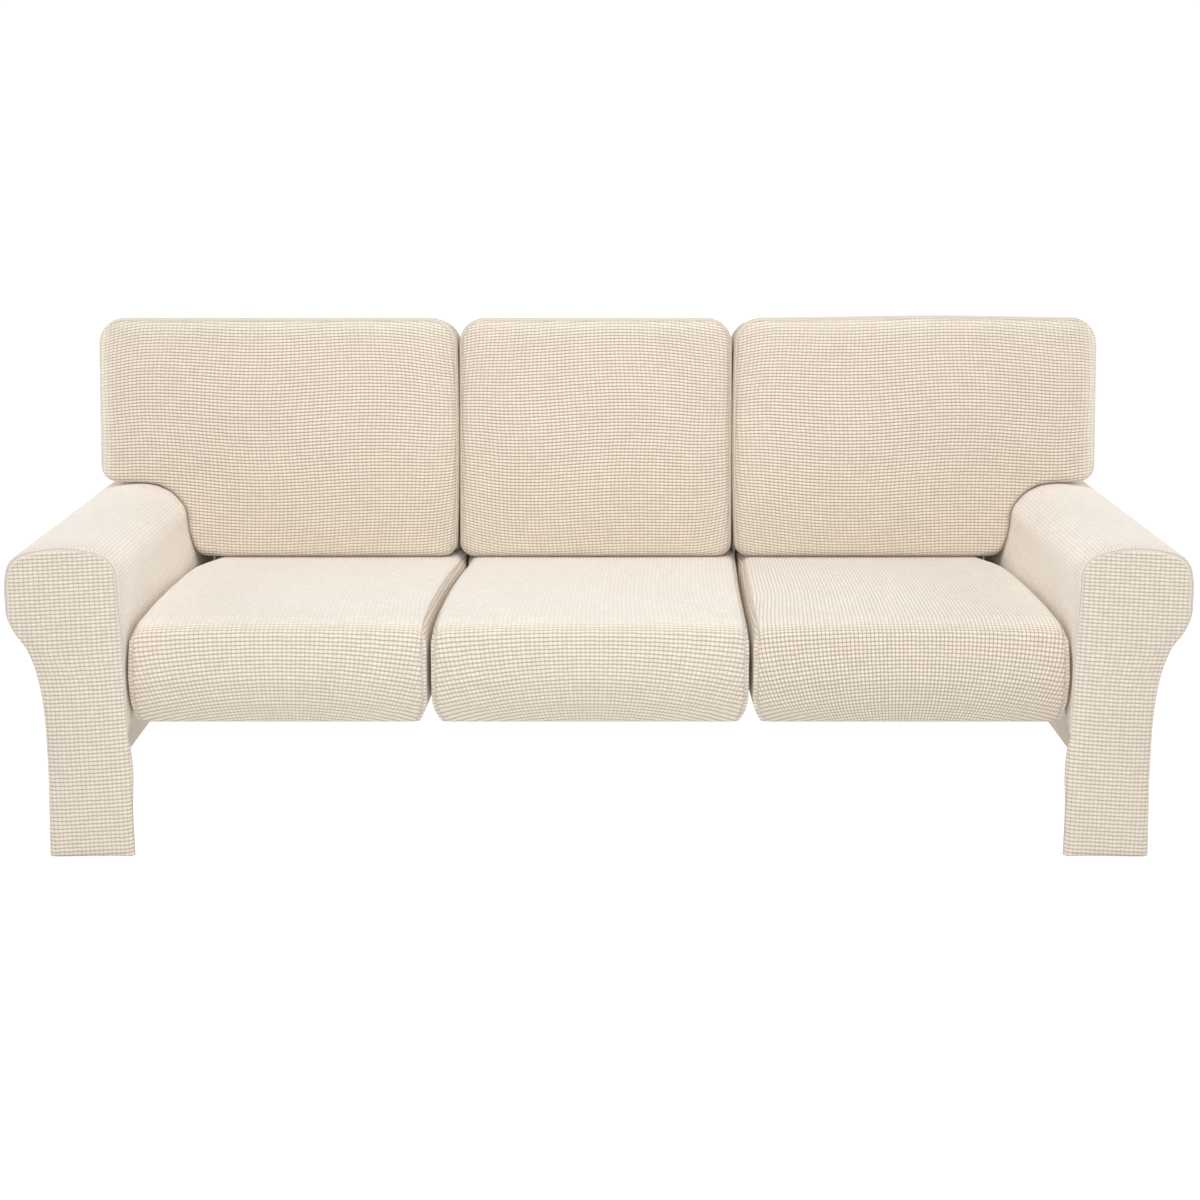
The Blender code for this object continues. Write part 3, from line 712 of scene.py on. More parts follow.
# %% The swell of a back
def back_swell(across, high, inner, outer, crown, side):
    """The crown times the rise from every edge, with a slow wave where the cloth is slack."""
    height = np.ones_like(across)
    for distance in (across - inner, outer - across, high - BACK_LOW, BACK_HIGH - high):
        height = height * rise(distance, BACK_SWELL_REACH)
    if side:
        beside_arm = np.hypot(np.maximum(ARM_INNER - across, 0), np.maximum(high - EAR_FOOT, 0))
        height = height * rise(beside_arm, BACK_SWELL_REACH)
    slow = np.sin(2 * math.pi * (across / SLACK_ACROSS + high / SLACK_UP) + SLACK_SHIFT * side)
    return (crown + SLACK * slow) * height


def place_back(flat, depth, swell, side):
    """Leans a point of the outline back, and mirrors a left cover: deep grows with height.

    The top is fullest in front and falls towards the rear, in proportion to the depth.
    """
    across, high = flat[..., 0], flat[..., 1]
    deep = BACK_FRONT + BACK_LEAN * (high - BACK_LOW) + depth - swell
    high = high + (BACK_CROWN_RISE - BACK_TOP_FALL * depth) * smooth_step(high, CROWN_FROM, CROWN_TO)
    return np.stack([across * (side or 1), deep, high], axis=-1)


print("the top of a back's face stands at", place_back(np.array([0.0, BACK_HIGH]), 0.0, 0.0, 0).round(3))

# %% [markdown]
# The weave is level in the middle of a back. Where the cover is pulled over its sides the rows bend
# towards the middle of the height, so they droop near the top and climb near the foot. The UV map
# does that: it divides a row's height by a share that falls off with the distance from the side.
# Away from the middle the cloth is stretched less, so its rows and columns lie closer together.

# %% Weave on a back
ROW_BEND, ROW_BEND_REACH = 0.105, 0.07
ROW_DENSITY, DENSITY_GROWS = 1.03, 0.75  # rows against those of the plain pitch, and their growth
ROW_WAVE, ROW_WAVE_LENGTH, ROW_SHIFT = 0.0056, 0.5, 1.3  # the shift sets the covers apart, in radians
ROW_WAVE_FADES = 0.1  # from the side
COLUMN_DENSITY, MORE_AT_TOP, MORE_AT_FOOT = 1.02, 0.02, 0.07
COLUMN_WAVE, COLUMN_WAVE_LENGTH, COLUMN_SHIFT = 0.004, 0.31, 5  # radians, across one cover
FOOT_STARTS, FOOT_ENDS = 0.05, 0.25  # down from the middle


def back_weave(flat, inner, outer, side):
    """UV of a back's face. Up: stretched away from mid height near the sides. Across: nearly plain."""
    across, high = flat[..., 0], flat[..., 1]
    beside = np.minimum(across - inner, outer - across)
    bend = ROW_BEND * np.exp(-np.maximum(beside, 0) / ROW_BEND_REACH)
    wave = ROW_WAVE * np.sin(2 * math.pi * across / ROW_WAVE_LENGTH + ROW_SHIFT * (side or 3))
    crown = BACK_CROWN_RISE * smooth_step(high, CROWN_FROM, CROWN_TO)
    up = (high + crown - BACK_MIDDLE) / (1 - bend)
    up = ROW_DENSITY * up + DENSITY_GROWS * up**3 + wave * smooth_step(beside, 0, ROW_WAVE_FADES)
    foot = smooth_step(BACK_MIDDLE - high, FOOT_STARTS, FOOT_ENDS)
    top = smooth_step(high, BACK_MIDDLE, BACK_HIGH)
    spread = COLUMN_DENSITY + MORE_AT_TOP * top + MORE_AT_FOOT * foot
    along = (across - (inner + outer) / 2) * spread
    from_side = (outer - across) / (outer - inner)
    turn = 2 * math.pi * high / COLUMN_WAVE_LENGTH + COLUMN_SHIFT * from_side
    along = along + COLUMN_WAVE * np.sin(turn)
    return np.stack([along, up * math.hypot(1, BACK_LEAN)], axis=-1)


foot_and_top = np.array([(0.0, BACK_LOW), (0.0, BACK_HIGH)])
rows_up = np.ptp(back_weave(foot_and_top, -0.3, 0.3, 0)[:, 1]) / PITCHES["Pitch Up"]
print("up the middle of a back there are", round(float(rows_up), 1), "rows")

# %% What the two panels of a back share
def back_shape(side, inner, outer, crown):
    """The outline and its middle, a point inside, and functions for the rounded edge and the swell."""
    outline = back_outline(side, inner, outer)
    normals = inward(outline, closed=True)
    notch = (outline[:, 0] > HEEL) & (outline[:, 1] < EAR_FOOT) & bool(side)
    size = softened(np.where(notch, BACK_NOTCH_EDGE, 1.0), points_wide=11, closed=True)[:, None]
    middle = np.array([(HEEL + inner) / 2 if side else (inner + outer) / 2, BACK_MIDDLE])

    def edge(turn):
        """Points and depth on the elliptical edge, for turns from 0 on the face to 90 at the side."""
        turn = np.asarray(turn)[:, None, None]
        flat = outline + normals * BACK_EDGE_INSET * (1 - np.sin(turn)) * size
        return flat, (BACK_EDGE_DEPTH * (1 - np.cos(turn)) * size)[..., 0]

    def swell(flat):
        """How far the face stands out at these points."""
        return back_swell(flat[..., 0], flat[..., 1], inner, outer, crown, side)

    return outline, middle, place_back(middle, BACK_THICK / 2, 0.0, side), edge, swell


HALF_SEAM = SEAM_GAP / 2 / BACK_EDGE_DEPTH  # as a turn on the rounded edge
CHECK_FADES = (-0.002, 0.003)  # from a seam
print("half a seam's gap is", round(math.degrees(HALF_SEAM), 1), "degrees of a back's rounded edge")

# %% [markdown]
# The front panel is the large face to lean on. A flat grid pushed out would leave steps along the
# notch beside the arm. Rings, each a share of the outline, run smoothly into the rounded edge.

# %% Front panel of a back
FACE_RINGS, FIRST_RING = 33, 0.03  # the first ring's share of the outline
TOP_EDGE, FOOT_EDGE, EAR_EDGE = 0.045, 0.040, (0.040, 0.008)  # where the cloth is pulled over an edge
FACE_LEVELS, FACE_UPRIGHTS = 1.0, 0.42
# Losing level grooves also pales the face. At an ear's end this is partly cloth pulled over the edge and
# partly a painted highlight for the rim lit from the side.
LEVELS_LOSE, UPRIGHTS_LOSE = (0.4, 0.25, 0.5), (0.3, 0.0, 0.4)  # at the top, the foot and an ear's end


def back_front(name, side, inner, outer, crown):
    """Rings from the middle to the outline, then the rounded edge up to the seam."""
    outline, middle, inside, edge, swell = back_shape(side, inner, outer, crown)
    rim, rim_depth = edge(np.linspace(0, SEAM_TURN - HALF_SEAM, 9))
    shares = np.linspace(FIRST_RING, 1, FACE_RINGS + 1)[:-1, None, None]
    flat = np.concatenate([middle + (rim[0] - middle) * shares, rim])
    depth = np.concatenate([np.zeros((FACE_RINGS, len(outline))), rim_depth])
    grid = place_back(flat, depth, swell(flat), side)
    weave = with_first(back_weave(flat, inner, outer, side))
    seam = rim_map(grid)
    across, high = flat[..., 0], flat[..., 1]
    edges = (
        smooth_step(high, BACK_HIGH - TOP_EDGE, BACK_HIGH),
        smooth_step(BACK_LOW + FOOT_EDGE - high, 0, FOOT_EDGE),
        smooth_step(across, outer - EAR_EDGE[0], outer - EAR_EDGE[1]) * bool(side),
    )
    sew_sheet(f"{name}_front", grid, weave, seam + (0, SOFT_SEAM), inside,
              (np.ptp(across), np.ptp(high) * math.hypot(1, BACK_LEAN)),
              closed=True, middle=place_back(middle, 0.0, swell(middle), side),
              check=smooth_step(seam[:, :-1, 1], *CHECK_FADES),
              levels=math.prod((1 - loss * at for loss, at in zip(LEVELS_LOSE, edges)), start=FACE_LEVELS),
              uprights=math.prod((1 - loss * at for loss, at in zip(UPRIGHTS_LOSE, edges)),
                                 start=FACE_UPRIGHTS))


# %% [markdown]
# The boxing band goes round the sides from the front seam to the rear, where an elastic hem turns
# in and leaves the cover open. It is a ring in every row: the rest of the rounded edge, the straight
# side, the round rear and the hem, which waves where the elastic gathers it.

# %% Boxing band of a back
REAR_TURN = np.linspace(0, math.pi / 2, 7)[1:, None, None]
SQUARED_BY = (0.03, 0.10)  # depths between which the foot corners fill out
HEM_WAVE, HEM_WAVE_LENGTH = 0.0016, 0.045


def back_boxing(name, side, inner, outer, crown):
    """On from the seam: the rest of the edge, the straight side, the round rear and the gathered hem."""
    outline, middle, inside, edge, swell = back_shape(side, inner, outer, crown)
    turned, turned_depth = edge(np.linspace(SEAM_TURN + HALF_SEAM, math.pi / 2, 7))
    side_end = BACK_THICK - BACK_REAR_RADIUS
    straight = np.linspace(BACK_EDGE_DEPTH, side_end, 8)[1:, None] + 0 * outline[:, 0]
    feet = [(inner + BACK_FOOT_RADIUS, -1)] + ([] if side else [(outer - BACK_FOOT_RADIUS, 1)])
    sides = squared(outline, feet, smooth_step(straight, *SQUARED_BY)[..., None])
    outline = sides[-1]
    rear = outline + inward(outline, closed=True) * BACK_REAR_RADIUS * (1 - np.cos(REAR_TURN))
    rear_depth = side_end + BACK_REAR_RADIUS * np.sin(REAR_TURN[..., 0]) + 0 * outline[:, 0]
    hem = rear[-1] + (middle - rear[-1]) * np.linspace(0, BACK_HEM_SHARE, 6)[1:, None, None]
    along = run_along(outline[None], 1)[0]
    waves = np.sin(2 * math.pi * along / (along[-1] / round(along[-1] / HEM_WAVE_LENGTH)))
    hem_depth = BACK_THICK + HEM_WAVE * waves * np.linspace(0.2, 1, 5)[:, None]
    flat = np.concatenate([turned, sides, rear, hem])
    depth = np.concatenate([turned_depth, straight, rear_depth, hem_depth])
    lift = np.concatenate([swell(turned), np.zeros((len(depth) - 7, len(outline)))])
    grid = place_back(flat, depth, lift, side)
    wide = run_along(with_first(grid), 0)
    run = np.broadcast_to(run_along(with_first(grid), 1)[7], wide.shape)
    uv = np.stack([run, wide], axis=-1)
    sew_sheet(f"{name}_boxing", grid, uv, uv + (0, SOFT_SEAM), inside, (run.max(), wide.max()),
              closed=True, check=smooth_step(wide[:, :-1], *CHECK_FADES), levels=0.8, uprights=0.2)


# %% Make the backs
for name, side, inner, outer, crown in (
    ("back_left", -1, -BACK_MIDDLE_LEFT, EAR_OUT_LEFT, 0.031),
    ("back_middle", 0, BACK_MIDDLE_LEFT, BACK_MIDDLE_RIGHT, 0.027),
    ("back_right", 1, BACK_MIDDLE_RIGHT, EAR_OUT_RIGHT, 0.033),
):
    for make_panel in (back_front, back_boxing):
        make_panel(name, side, inner + GAP / 2, outer if side else outer - GAP / 2, crown)

# %% [markdown]
# ## The seats
#
# A seat cover's main panel is one length of cloth: the hem under the front, the front, the top, the
# rear and the hem under it. Two gussets close its ends. Its section is carried across the cover.
# Towards each end the cloth goes over a rounded edge, and at the foot the elastic draws the sides in,
# which leaves the dark corners between one cover and the next.

# %% Section of a seat: deep, high, radius of the corner, swell in the middle of the cover
seat_points = np.array((
    (0.780, SEAT_LOW, 0.000, 0.000),
    (0.815, SEAT_LOW, 0.016, 0.000),
    (0.815, SEAT_HIGH, 0.030, 0.000),
    (0.600, SEAT_HIGH, 0.000, 0.000),
    (0.470, 0.4490, 0.000, 0.005),
    (0.330, 0.4500, 0.000, 0.007),
    (0.200, 0.4490, 0.000, 0.006),
    (0.092, 0.4450, 0.000, 0.004),
    (0.064, 0.4380, 0.000, 0.003),
    (0.042, 0.4270, 0.005, 0.003),  # crease along the front edge
    (0.033, 0.3850, 0.000, 0.005),
    (0.029, 0.3400, 0.000, 0.007),
    (0.035, 0.2950, 0.000, 0.005),
    (0.050, SEAT_LOW, 0.012, 0.000),
    (0.088, SEAT_LOW, 0.000, 0.000),
))
SEAT_EDGE, SEAT_FRONT_EDGE, SEAT_BULGE = 0.027, 0.22, 0.004
SEAT_SWELL_REACH = 0.07
SEAT_DRAW_HEIGHT = 0.055
SEAT_CENTRE = np.array([0.43, 0.35])
SEAT_SQUARE, SQUARE_REAR = 0.95, (0.61, 0.70)  # under the backs the rounded edge loses this share
SPACED_AT = (0.10, 0.13, 0.58, 0.62, 0.80, 0.815)  # deep
SPACING = (0.004, 0.009, 0.009, 0.02, 0.02, 0.012)
RIDGE_DEEP, RIDGE_ABOVE = 0.044, 0.40  # where the front edge's ridge is: deep, and higher than this

line, rows = rounded(seat_points[:, :2], seat_points[:, 2], closed=False)
swell = np.interp(rows, range(len(seat_points)), seat_points[:, 3])
line, swell = respaced(line, 0.002, swell)
line = softened(line, points_wide=7, closed=False)
line[:, 1] = np.maximum(line[:, 1], SEAT_LOW)
normals = inward(line, closed=False)
level = np.stack([np.sign(SEAT_CENTRE[0] - line[:, 0]), np.zeros(len(line))], axis=1)
goes_in = np.where(normals[:, 1:] > 0.5, level, normals)  # the hems below go in level
goes_in = softened(goes_in * (SEAT_FRONT_EDGE, 1), points_wide=21, closed=False)
goes_in[:, 1] = np.minimum(goes_in[:, 1], 0) * (line[:, 1] > SEAT_LOW + 0.001)
goes_in *= 1 - SEAT_SQUARE * smooth_step(line[:, :1], *SQUARE_REAR)
stands_out = -softened(normals, points_wide=15, closed=False) * swell[:, None]
table = np.concatenate([line, goes_in, stands_out], axis=1)
_, *table = respaced(line, np.interp(line[:, 0], SPACED_AT, SPACING), *table.T)
seat_line, goes_in, stands_out = (np.stack(table[i : i + 2], axis=1) for i in (0, 2, 4))
seat_run = run_along(seat_line[None], 1)[0]
upper = seat_line[:, 1] > RIDGE_ABOVE
below_ridge = seat_run - np.interp(0, RIDGE_DEEP - seat_line[upper, 0], seat_run[upper])
print("a seat's section is", round(float(seat_run[-1]), 3), "m long, in", len(seat_run), "points")

# %% [markdown]
# On the front of a seat the check spreads like a fan whose middle lies below: its rows arch, and its
# columns draw together towards the foot. On the top the cloth is pulled flat, and its check is faint.
# On the right seat the columns lie closer together than on the others, and show more on the top.

# %% Weave on a seat
ROW_ARCH, ARCH_GROWS = 0.13, 3.5
COLUMNS_DRAW, DRAW_GROWS, REAR_DRAW = 0.24, 5.5, 0.06
SEAT_ROW_DENSITY = 1.02
PLAIN_COLUMNS, FINE_COLUMNS = 1.03, 1.17  # density of the columns
FINE_SHOWS = 2.4  # how much more they show for it


def seat_weave(across, below, fine):
    """UV from the distance across from the middle of the cover and the distance below its ridge."""
    front = np.maximum(below, 0)
    arch = 1 + ARCH_GROWS * across**2 * smooth_step(below, -0.02, 0.02)
    up = -(below - ROW_ARCH * across**2) / arch
    along = across * np.exp(COLUMNS_DRAW * front + DRAW_GROWS * front**2)
    along = along * (1 + REAR_DRAW * smooth_step(-below, 0, 0.25))
    return np.stack([along * fine, up * SEAT_ROW_DENSITY], axis=-1)


rows_down = -seat_weave(0.0, 0.1, PLAIN_COLUMNS)[1] / PITCHES["Pitch Up"]
print("in the middle of a seat's front, 10 cm of cloth have", round(float(rows_down), 1), "rows")

# %% [markdown]
# The lines between the seats aren't straight: they drift across towards the rear. At the arms a seat
# follows the inner face instead, and behind the foot of the backs its corner is rounded.

# %% Shape of a seat
REAR_CORNER, CORNER_REACH = 0.042, 0.09
REAR_CORNER_START, REAR_CORNER_END = 0.50, 0.63
CORNER_FADES = (0.64, 0.81)

# Ends of the seats: where they lie across, their line's drift, and the elastic's pull on the foot
AT_LEFT_ARM, AT_RIGHT_ARM = (GAP - ARM_INNER, ARM_LEAN, 0.005), (ARM_INNER - GAP, -ARM_LEAN, 0.005)
AT_LEFT_LINE, AT_RIGHT_LINE = (SEAT_MIDDLE_LEFT, 0.096, 0.018), (SEAT_MIDDLE_RIGHT, 0.036, 0.018)


def seat_shape(puff, left, right):
    """Half the width, a function that places points and one that carries the section across."""
    (left, left_line, left_pull), (right, right_line, right_pull) = left, right
    half_width = (right - left - GAP) / 2 - SEAT_BULGE
    centre = (left + right) / 2

    def place(across, deep, high):
        """Draws the foot in, follows the lines beside the seat, and rounds its rear corner by an arm."""
        share = np.clip((high - SEAT_LOW) / SEAT_DRAW_HEIGHT, 0, 1)
        pull = np.where(across < 0, left_pull, right_pull) * (1 - share) ** 2
        across = centre + across * (1 - pull / half_width)
        share = np.clip((across - left) / (right - left), 0, 1)
        drift = left_line * (1 - share) + right_line * share
        moved = across + drift * np.minimum(deep, SEAT_LINE_END) ** 2
        corner = np.clip((deep - REAR_CORNER_START) / (REAR_CORNER_END - REAR_CORNER_START), 0, 1) ** 2
        corner = REAR_CORNER * corner * (1 - smooth_step(deep, *CORNER_FADES))
        for side, limit in ((-1, left), (1, right)):
            if abs(limit) > ARM_INNER - 2 * GAP:
                near = np.exp(-np.abs(across - limit) / CORNER_REACH)
                moved = moved - side * near * (corner - seat_press(deep, high))
        return np.stack(np.broadcast_arrays(moved, deep, high), axis=-1)

    def sections(across):
        """The section at each place across: in at the rounded ends, and out by the swell."""
        across = np.asarray(across)[:, None]
        from_end = half_width - np.abs(across)
        turn = np.clip(1 - from_end / SEAT_EDGE, 0, 1)
        inset = (SEAT_EDGE * (1 - np.sqrt(1 - turn**2)))[..., None]
        out = (puff * rise(from_end, SEAT_SWELL_REACH))[..., None]
        flat = seat_line + goes_in * inset + stands_out * out
        return place(across, flat[..., 0], flat[..., 1])

    return half_width, place, sections


SEAT_HALF_SEAM = SEAM_GAP / 2 / SEAT_EDGE  # as a turn on the rounded edge
half_middle = seat_shape(0.8, AT_LEFT_LINE, AT_RIGHT_LINE)[0]
print("the middle seat is", round(2 * half_middle, 3), "m wide")

# %% [markdown]
# A modifier could sweep the section across, but the ends go in over a rounded edge and the middle
# swells. So each place across gets its own copy of the section, moved along two stored directions.

# %% Main panel of a seat
RIDGE_FADES, TOP_FADES = (-0.030, 0.000), 0.09  # below the ridge, and above it
HEM_PLAIN = 0.004  # width along the hems where the check fades in
# The level grooves added along the ridge also darken its rounded edge. This is partly its stronger check
# there and partly painted shade, so that the edge doesn't look as bright as the top.
TOP_LEVELS, RIDGE_LEVELS, FRONT_LEVELS = 0.12, 0.32, 0.34  # on the top, and what is added further on
TOP_UPRIGHTS, FRONT_UPRIGHTS = 0.16, 0.23


def seat_top(name, fine, half_width, sections, inside):
    """The section at each place across, closer together on the rounded edges."""
    flat_end = half_width - SEAT_EDGE
    end = flat_end + SEAT_EDGE * np.sin(np.linspace(0, SEAM_TURN - SEAT_HALF_SEAM, 7)[1:])
    across = np.concatenate([-end[::-1], np.linspace(-flat_end, flat_end, 86), end])
    grid = sections(across)
    weave = seat_weave(across[:, None], below_ridge + 0 * across[:, None], fine)
    inset = run_along(grid, 0)
    from_seam = np.minimum(inset, inset[-1] - inset)
    seam = np.stack([seat_run + 0 * from_seam, from_seam + SOFT_SEAM], axis=-1)
    from_hem = np.minimum(seat_run, seat_run[-1] - seat_run)
    on_front = smooth_step(below_ridge, *RIDGE_FADES)
    by_ridge = np.exp(np.minimum(below_ridge, 0) / TOP_FADES)
    worn = (float(inset.max()), float(run_along(grid, 1).max()))
    sew_sheet(f"{name}_top", grid, weave, seam, inside, worn,
              check=smooth_step(from_seam, *CHECK_FADES) * smooth_step(from_hem, 0, HEM_PLAIN),
              levels=TOP_LEVELS + RIDGE_LEVELS * by_ridge + FRONT_LEVELS * on_front,
              uprights=TOP_UPRIGHTS + (fine - PLAIN_COLUMNS) * FINE_SHOWS + FRONT_UPRIGHTS * on_front)


# %% [markdown]
# A gusset closes each end. It starts at the same seam, ends the rounded edge, and fills the rest with
# rings. The end's outline turns back on itself in places, where a ring would fold over, so the angles
# of its points are made to grow steadily first.

# %% Gussets of a seat
GUSSET_RINGS, LAST_RING = 14, 0.04


def fanned(rim):
    """The rim with its angles about the middle made to grow all the way, so that no ring folds over."""
    angle, radius = np.unwrap(np.arctan2(rim[:, 1], rim[:, 0])), np.hypot(rim[:, 0], rim[:, 1])
    way = np.sign(angle[-1] - angle[0])
    angle = softened(way * np.maximum.accumulate(way * angle), points_wide=5, closed=False)
    return np.stack([radius * np.cos(angle), radius * np.sin(angle)], axis=1)


def seat_gusset(name, side, half_width, place, sections, inside):
    """The end of the section, closed along its open foot, and rings from there to the middle."""
    turns = np.linspace(SEAM_TURN + SEAT_HALF_SEAM, math.pi / 2, 7)
    rings = sections(side * (half_width - SEAT_EDGE + SEAT_EDGE * np.sin(turns)))
    closing = np.linspace(0, 1, 47)[1:-1, None]
    rings = np.concatenate([rings, rings[:, -1:] + closing * (rings[:, :1] - rings[:, -1:])], axis=1)
    shares = np.linspace(1, LAST_RING, GUSSET_RINGS + 1)[1:, None]
    flat = SEAT_CENTRE + fanned(rings[-1][:, 1:] - SEAT_CENTRE) * shares[..., None]
    bulge = side * (half_width + SEAT_BULGE * (1 - shares**2))
    panel = place(bulge + 0 * flat[..., 0], flat[..., 0], flat[..., 1])
    grid = np.concatenate([rings, panel])[::-1]
    weave, seam = with_first(grid)[..., 1:], rim_map(grid)
    sew_sheet(name, grid, weave, seam + (0, SOFT_SEAM), inside,
              (np.ptp(grid[..., 1]), np.ptp(grid[..., 2])), closed=True,
              middle=place(side * (half_width + SEAT_BULGE), *SEAT_CENTRE),
              check=smooth_step(seam[:, :-1, 1], *CHECK_FADES), levels=0.7, uprights=0.3)


# %% Make the seats
for name, puff, fine, left, right, words in (
    ("seat_left", 1.0, PLAIN_COLUMNS, AT_LEFT_ARM, AT_LEFT_LINE, ("out", "in")),
    ("seat_middle", 0.8, PLAIN_COLUMNS, AT_LEFT_LINE, AT_RIGHT_LINE, ("left", "right")),
    ("seat_right", 1.1, FINE_COLUMNS, AT_RIGHT_LINE, AT_RIGHT_ARM, ("in", "out")),
):
    half_width, place, sections = seat_shape(puff, left, right)
    inside = place(0.0, *SEAT_CENTRE)
    seat_top(name, fine, half_width, sections, inside)
    for side, word in zip((-1, 1), words):
        seat_gusset(f"{name}_gusset_{word}", side, half_width, place, sections, inside)

# %% [markdown]
# ## The arms
#
# The body panel is the section carried back along the arm. At its front it goes over a small rounded
# edge to the seam with the scroll-shaped front, and a ridge of doubled cloth lies just outside that
# seam. The hem on the inner face is gathered into its front corner, and the folds run out from there
# as a fan. The front swells slightly and dips at its seam.

# %% The front edge of an arm
ARM_EDGE = 0.012
ARM_HALF_SEAM = SEAM_GAP / 2 / ARM_EDGE  # as a turn on the rounded edge
ROLL_TURN, FACE_TURN, BELOW_TURN, WALL_TURN = 37, 62, 90, 82  # degrees from the front to the seam
FACE_TOP, FACE_FADES = 0.52, 0.12  # high, and the height over which one turn passes into the next
WALL_TOP, WALL_FADES = 0.50, 0.09
ARM_CENTRE = np.array([0.963, 0.33])


def place_arm(side, flat, deep):
    """A point of the section, mirrored for the left arm, at its depth."""
    return np.stack(np.broadcast_arrays(side * flat[..., 0], deep, flat[..., 1]), axis=-1)


def seam_turn(line):
    """The seam's turn: on the roll, then on the inner face and below its hem, or on the outer wall."""
    high = line[:, 1]
    inner = np.arange(len(line)) > len(line) / 2
    turn = ROLL_TURN + (FACE_TURN - ROLL_TURN) * smooth_step(FACE_TOP - high, 0, FACE_FADES) * inner
    turn = turn + (BELOW_TURN - FACE_TURN) * smooth_step(ARM_HEM - high, 0.003, 0.010) * inner
    turn = turn + (WALL_TURN - ROLL_TURN) * smooth_step(WALL_TOP - high, 0, WALL_FADES) * ~inner
    return np.radians(turn)


def arm_edge(turn, line, normals):
    """Points and depth on the round edge, for turns from 0 on the front to 90 at the side."""
    flat = line + normals * ARM_EDGE * (1 - np.sin(turn))[..., None]
    return flat, ARM_EDGE * (1 - np.cos(turn))


print("half a seam's gap is", round(math.degrees(ARM_HALF_SEAM), 1), "degrees of the arm's rounded edge")

# %% Weave on the front of an arm
NECK_HIGH = 0.42
ROLL_COLUMNS, MORE_BELOW, COLUMNS_CHANGE = 0.98, 0.11, 0.1  # density, and the height it takes to change
LOW_ROWS, MORE_ABOVE, ROWS_CHANGE = 0.94, 0.11, 0.03
ROW_SLANT = 0.05


def arm_weave(flat):
    """UV of an arm's front: columns lie closer below the neck and rows above it, and the rows slant."""
    across, high = flat[..., 0] - ARM_INNER, flat[..., 1]
    spread = ROLL_COLUMNS + MORE_BELOW * smooth_step(NECK_HIGH - high, 0, COLUMNS_CHANGE)
    above = np.logaddexp(0, (high - NECK_HIGH) / ROWS_CHANGE)
    up = LOW_ROWS * high + MORE_ABOVE * above * ROWS_CHANGE
    return np.stack([across * spread, up + ROW_SLANT * across], axis=-1)


print("at its middle point, the UV of an arm's front is", arm_weave(ARM_CENTRE).round(3))

# %% [markdown]
# The front is a scroll with a narrow rounded edge, so it is made in rings, as the backs are. Its foot
# stands on the floor, and that line closes the open section.

# %% Front panel of an arm
FRONT_RINGS, ARM_FRONT_CROWN = 24, 0.005
SEAM_DIP, DIP_REACH = 0.0009, 0.005
HOLLOW, HOLLOW_HIGH, HOLLOW_REACH = 0.005, 0.17, 0.055  # on the inner side, below the seats
PLAIN_EDGE, PLAIN_OUTSIDE = 0.004, 0.003  # width along the seam without a full check, and added outside


def arm_front(name, side):
    """Rings from the middle to the edge, then the rounded edge up to the seam, closed at the floor."""
    line = respaced(arm_section, 0.0065)[0]
    normals = inward(line, closed=False)
    inner = np.arange(len(line)) > len(line) / 2
    line[:, 0] -= HOLLOW * bell(line[:, 1], HOLLOW_HIGH, HOLLOW_REACH) * inner
    turns = np.linspace(0, 1, 8)[:, None] * (seam_turn(line) - ARM_HALF_SEAM)
    rim, rim_deep = arm_edge(turns, line, normals)
    floor_line = np.linspace(0, 1, 24)[1:-1]
    closing = rim[:, -1:] + floor_line[:, None] * (rim[:, :1] - rim[:, -1:])
    closing_deep = rim_deep[:, -1:] + floor_line * (rim_deep[:, :1] - rim_deep[:, -1:])
    rim = np.concatenate([rim, closing], axis=1)
    rim_deep = np.concatenate([rim_deep, closing_deep], axis=1)
    shares = np.linspace(FIRST_RING, 1, FRONT_RINGS + 1)[:-1, None]
    flat = np.concatenate([ARM_CENTRE + (rim[0] - ARM_CENTRE) * shares[..., None], rim])
    deep = np.concatenate([-ARM_FRONT_CROWN * (1 - shares**2) + 0 * rim[0, :, 0], rim_deep])
    seam = rim_map(place_arm(side, flat, deep))
    from_seam = seam[:, :-1, 1]
    facing_front = 1 - rim_deep[-1] / ARM_EDGE  # cosine of the seam's turn
    dip = SEAM_DIP * facing_front * (1 - smooth_step(from_seam, 0.0, DIP_REACH))
    plain = PLAIN_EDGE + PLAIN_OUTSIDE * smooth_step(flat[..., 0] - ARM_CENTRE[0], 0, 0.04)
    sew_sheet(f"{name}_front", place_arm(side, flat, deep + dip), with_first(arm_weave(flat)), seam,
              place_arm(side, ARM_CENTRE, ARM_LENGTH / 2), (np.ptp(flat[..., 0]), np.ptp(flat[..., 1])),
              closed=True, middle=place_arm(side, ARM_CENTRE, -ARM_FRONT_CROWN),
              check=smooth_step(from_seam, 0.3 * plain, plain), levels=0.74, uprights=0.36)


# %% [markdown]
# The body is a plain grid, section by depth. Its rows lie closer together in front, where the folds
# from the gathered corner run out.

# %% Body panel of an arm
SEAM_RIDGE = 0.0008
ARM_SHOULDER = 0.5  # high, where the flat inner face ends
HEM_RISES = (0.015, 0.070)  # deep
GATHER_POINT = (0.012, 0.236)  # deep, high
FOLD, FOLDS, FOLD_REACH, FOLD_FROM = 0.0030, 30, 0.13, (0.012, 0.030)
BODY_PLAIN = 0.006  # width along the seam where the check fades in
SEAM_SHOWS, GATHER_SHOWS = 0.022, 0.10  # how far the check stays strong from there
BODY_LEVELS = (0.24, 0.40, 0.36, 0.0)  # everywhere, and added outside, by the seam and by the gathers
BODY_UPRIGHTS = (0.08, 0.30, 0.2, 0.3)


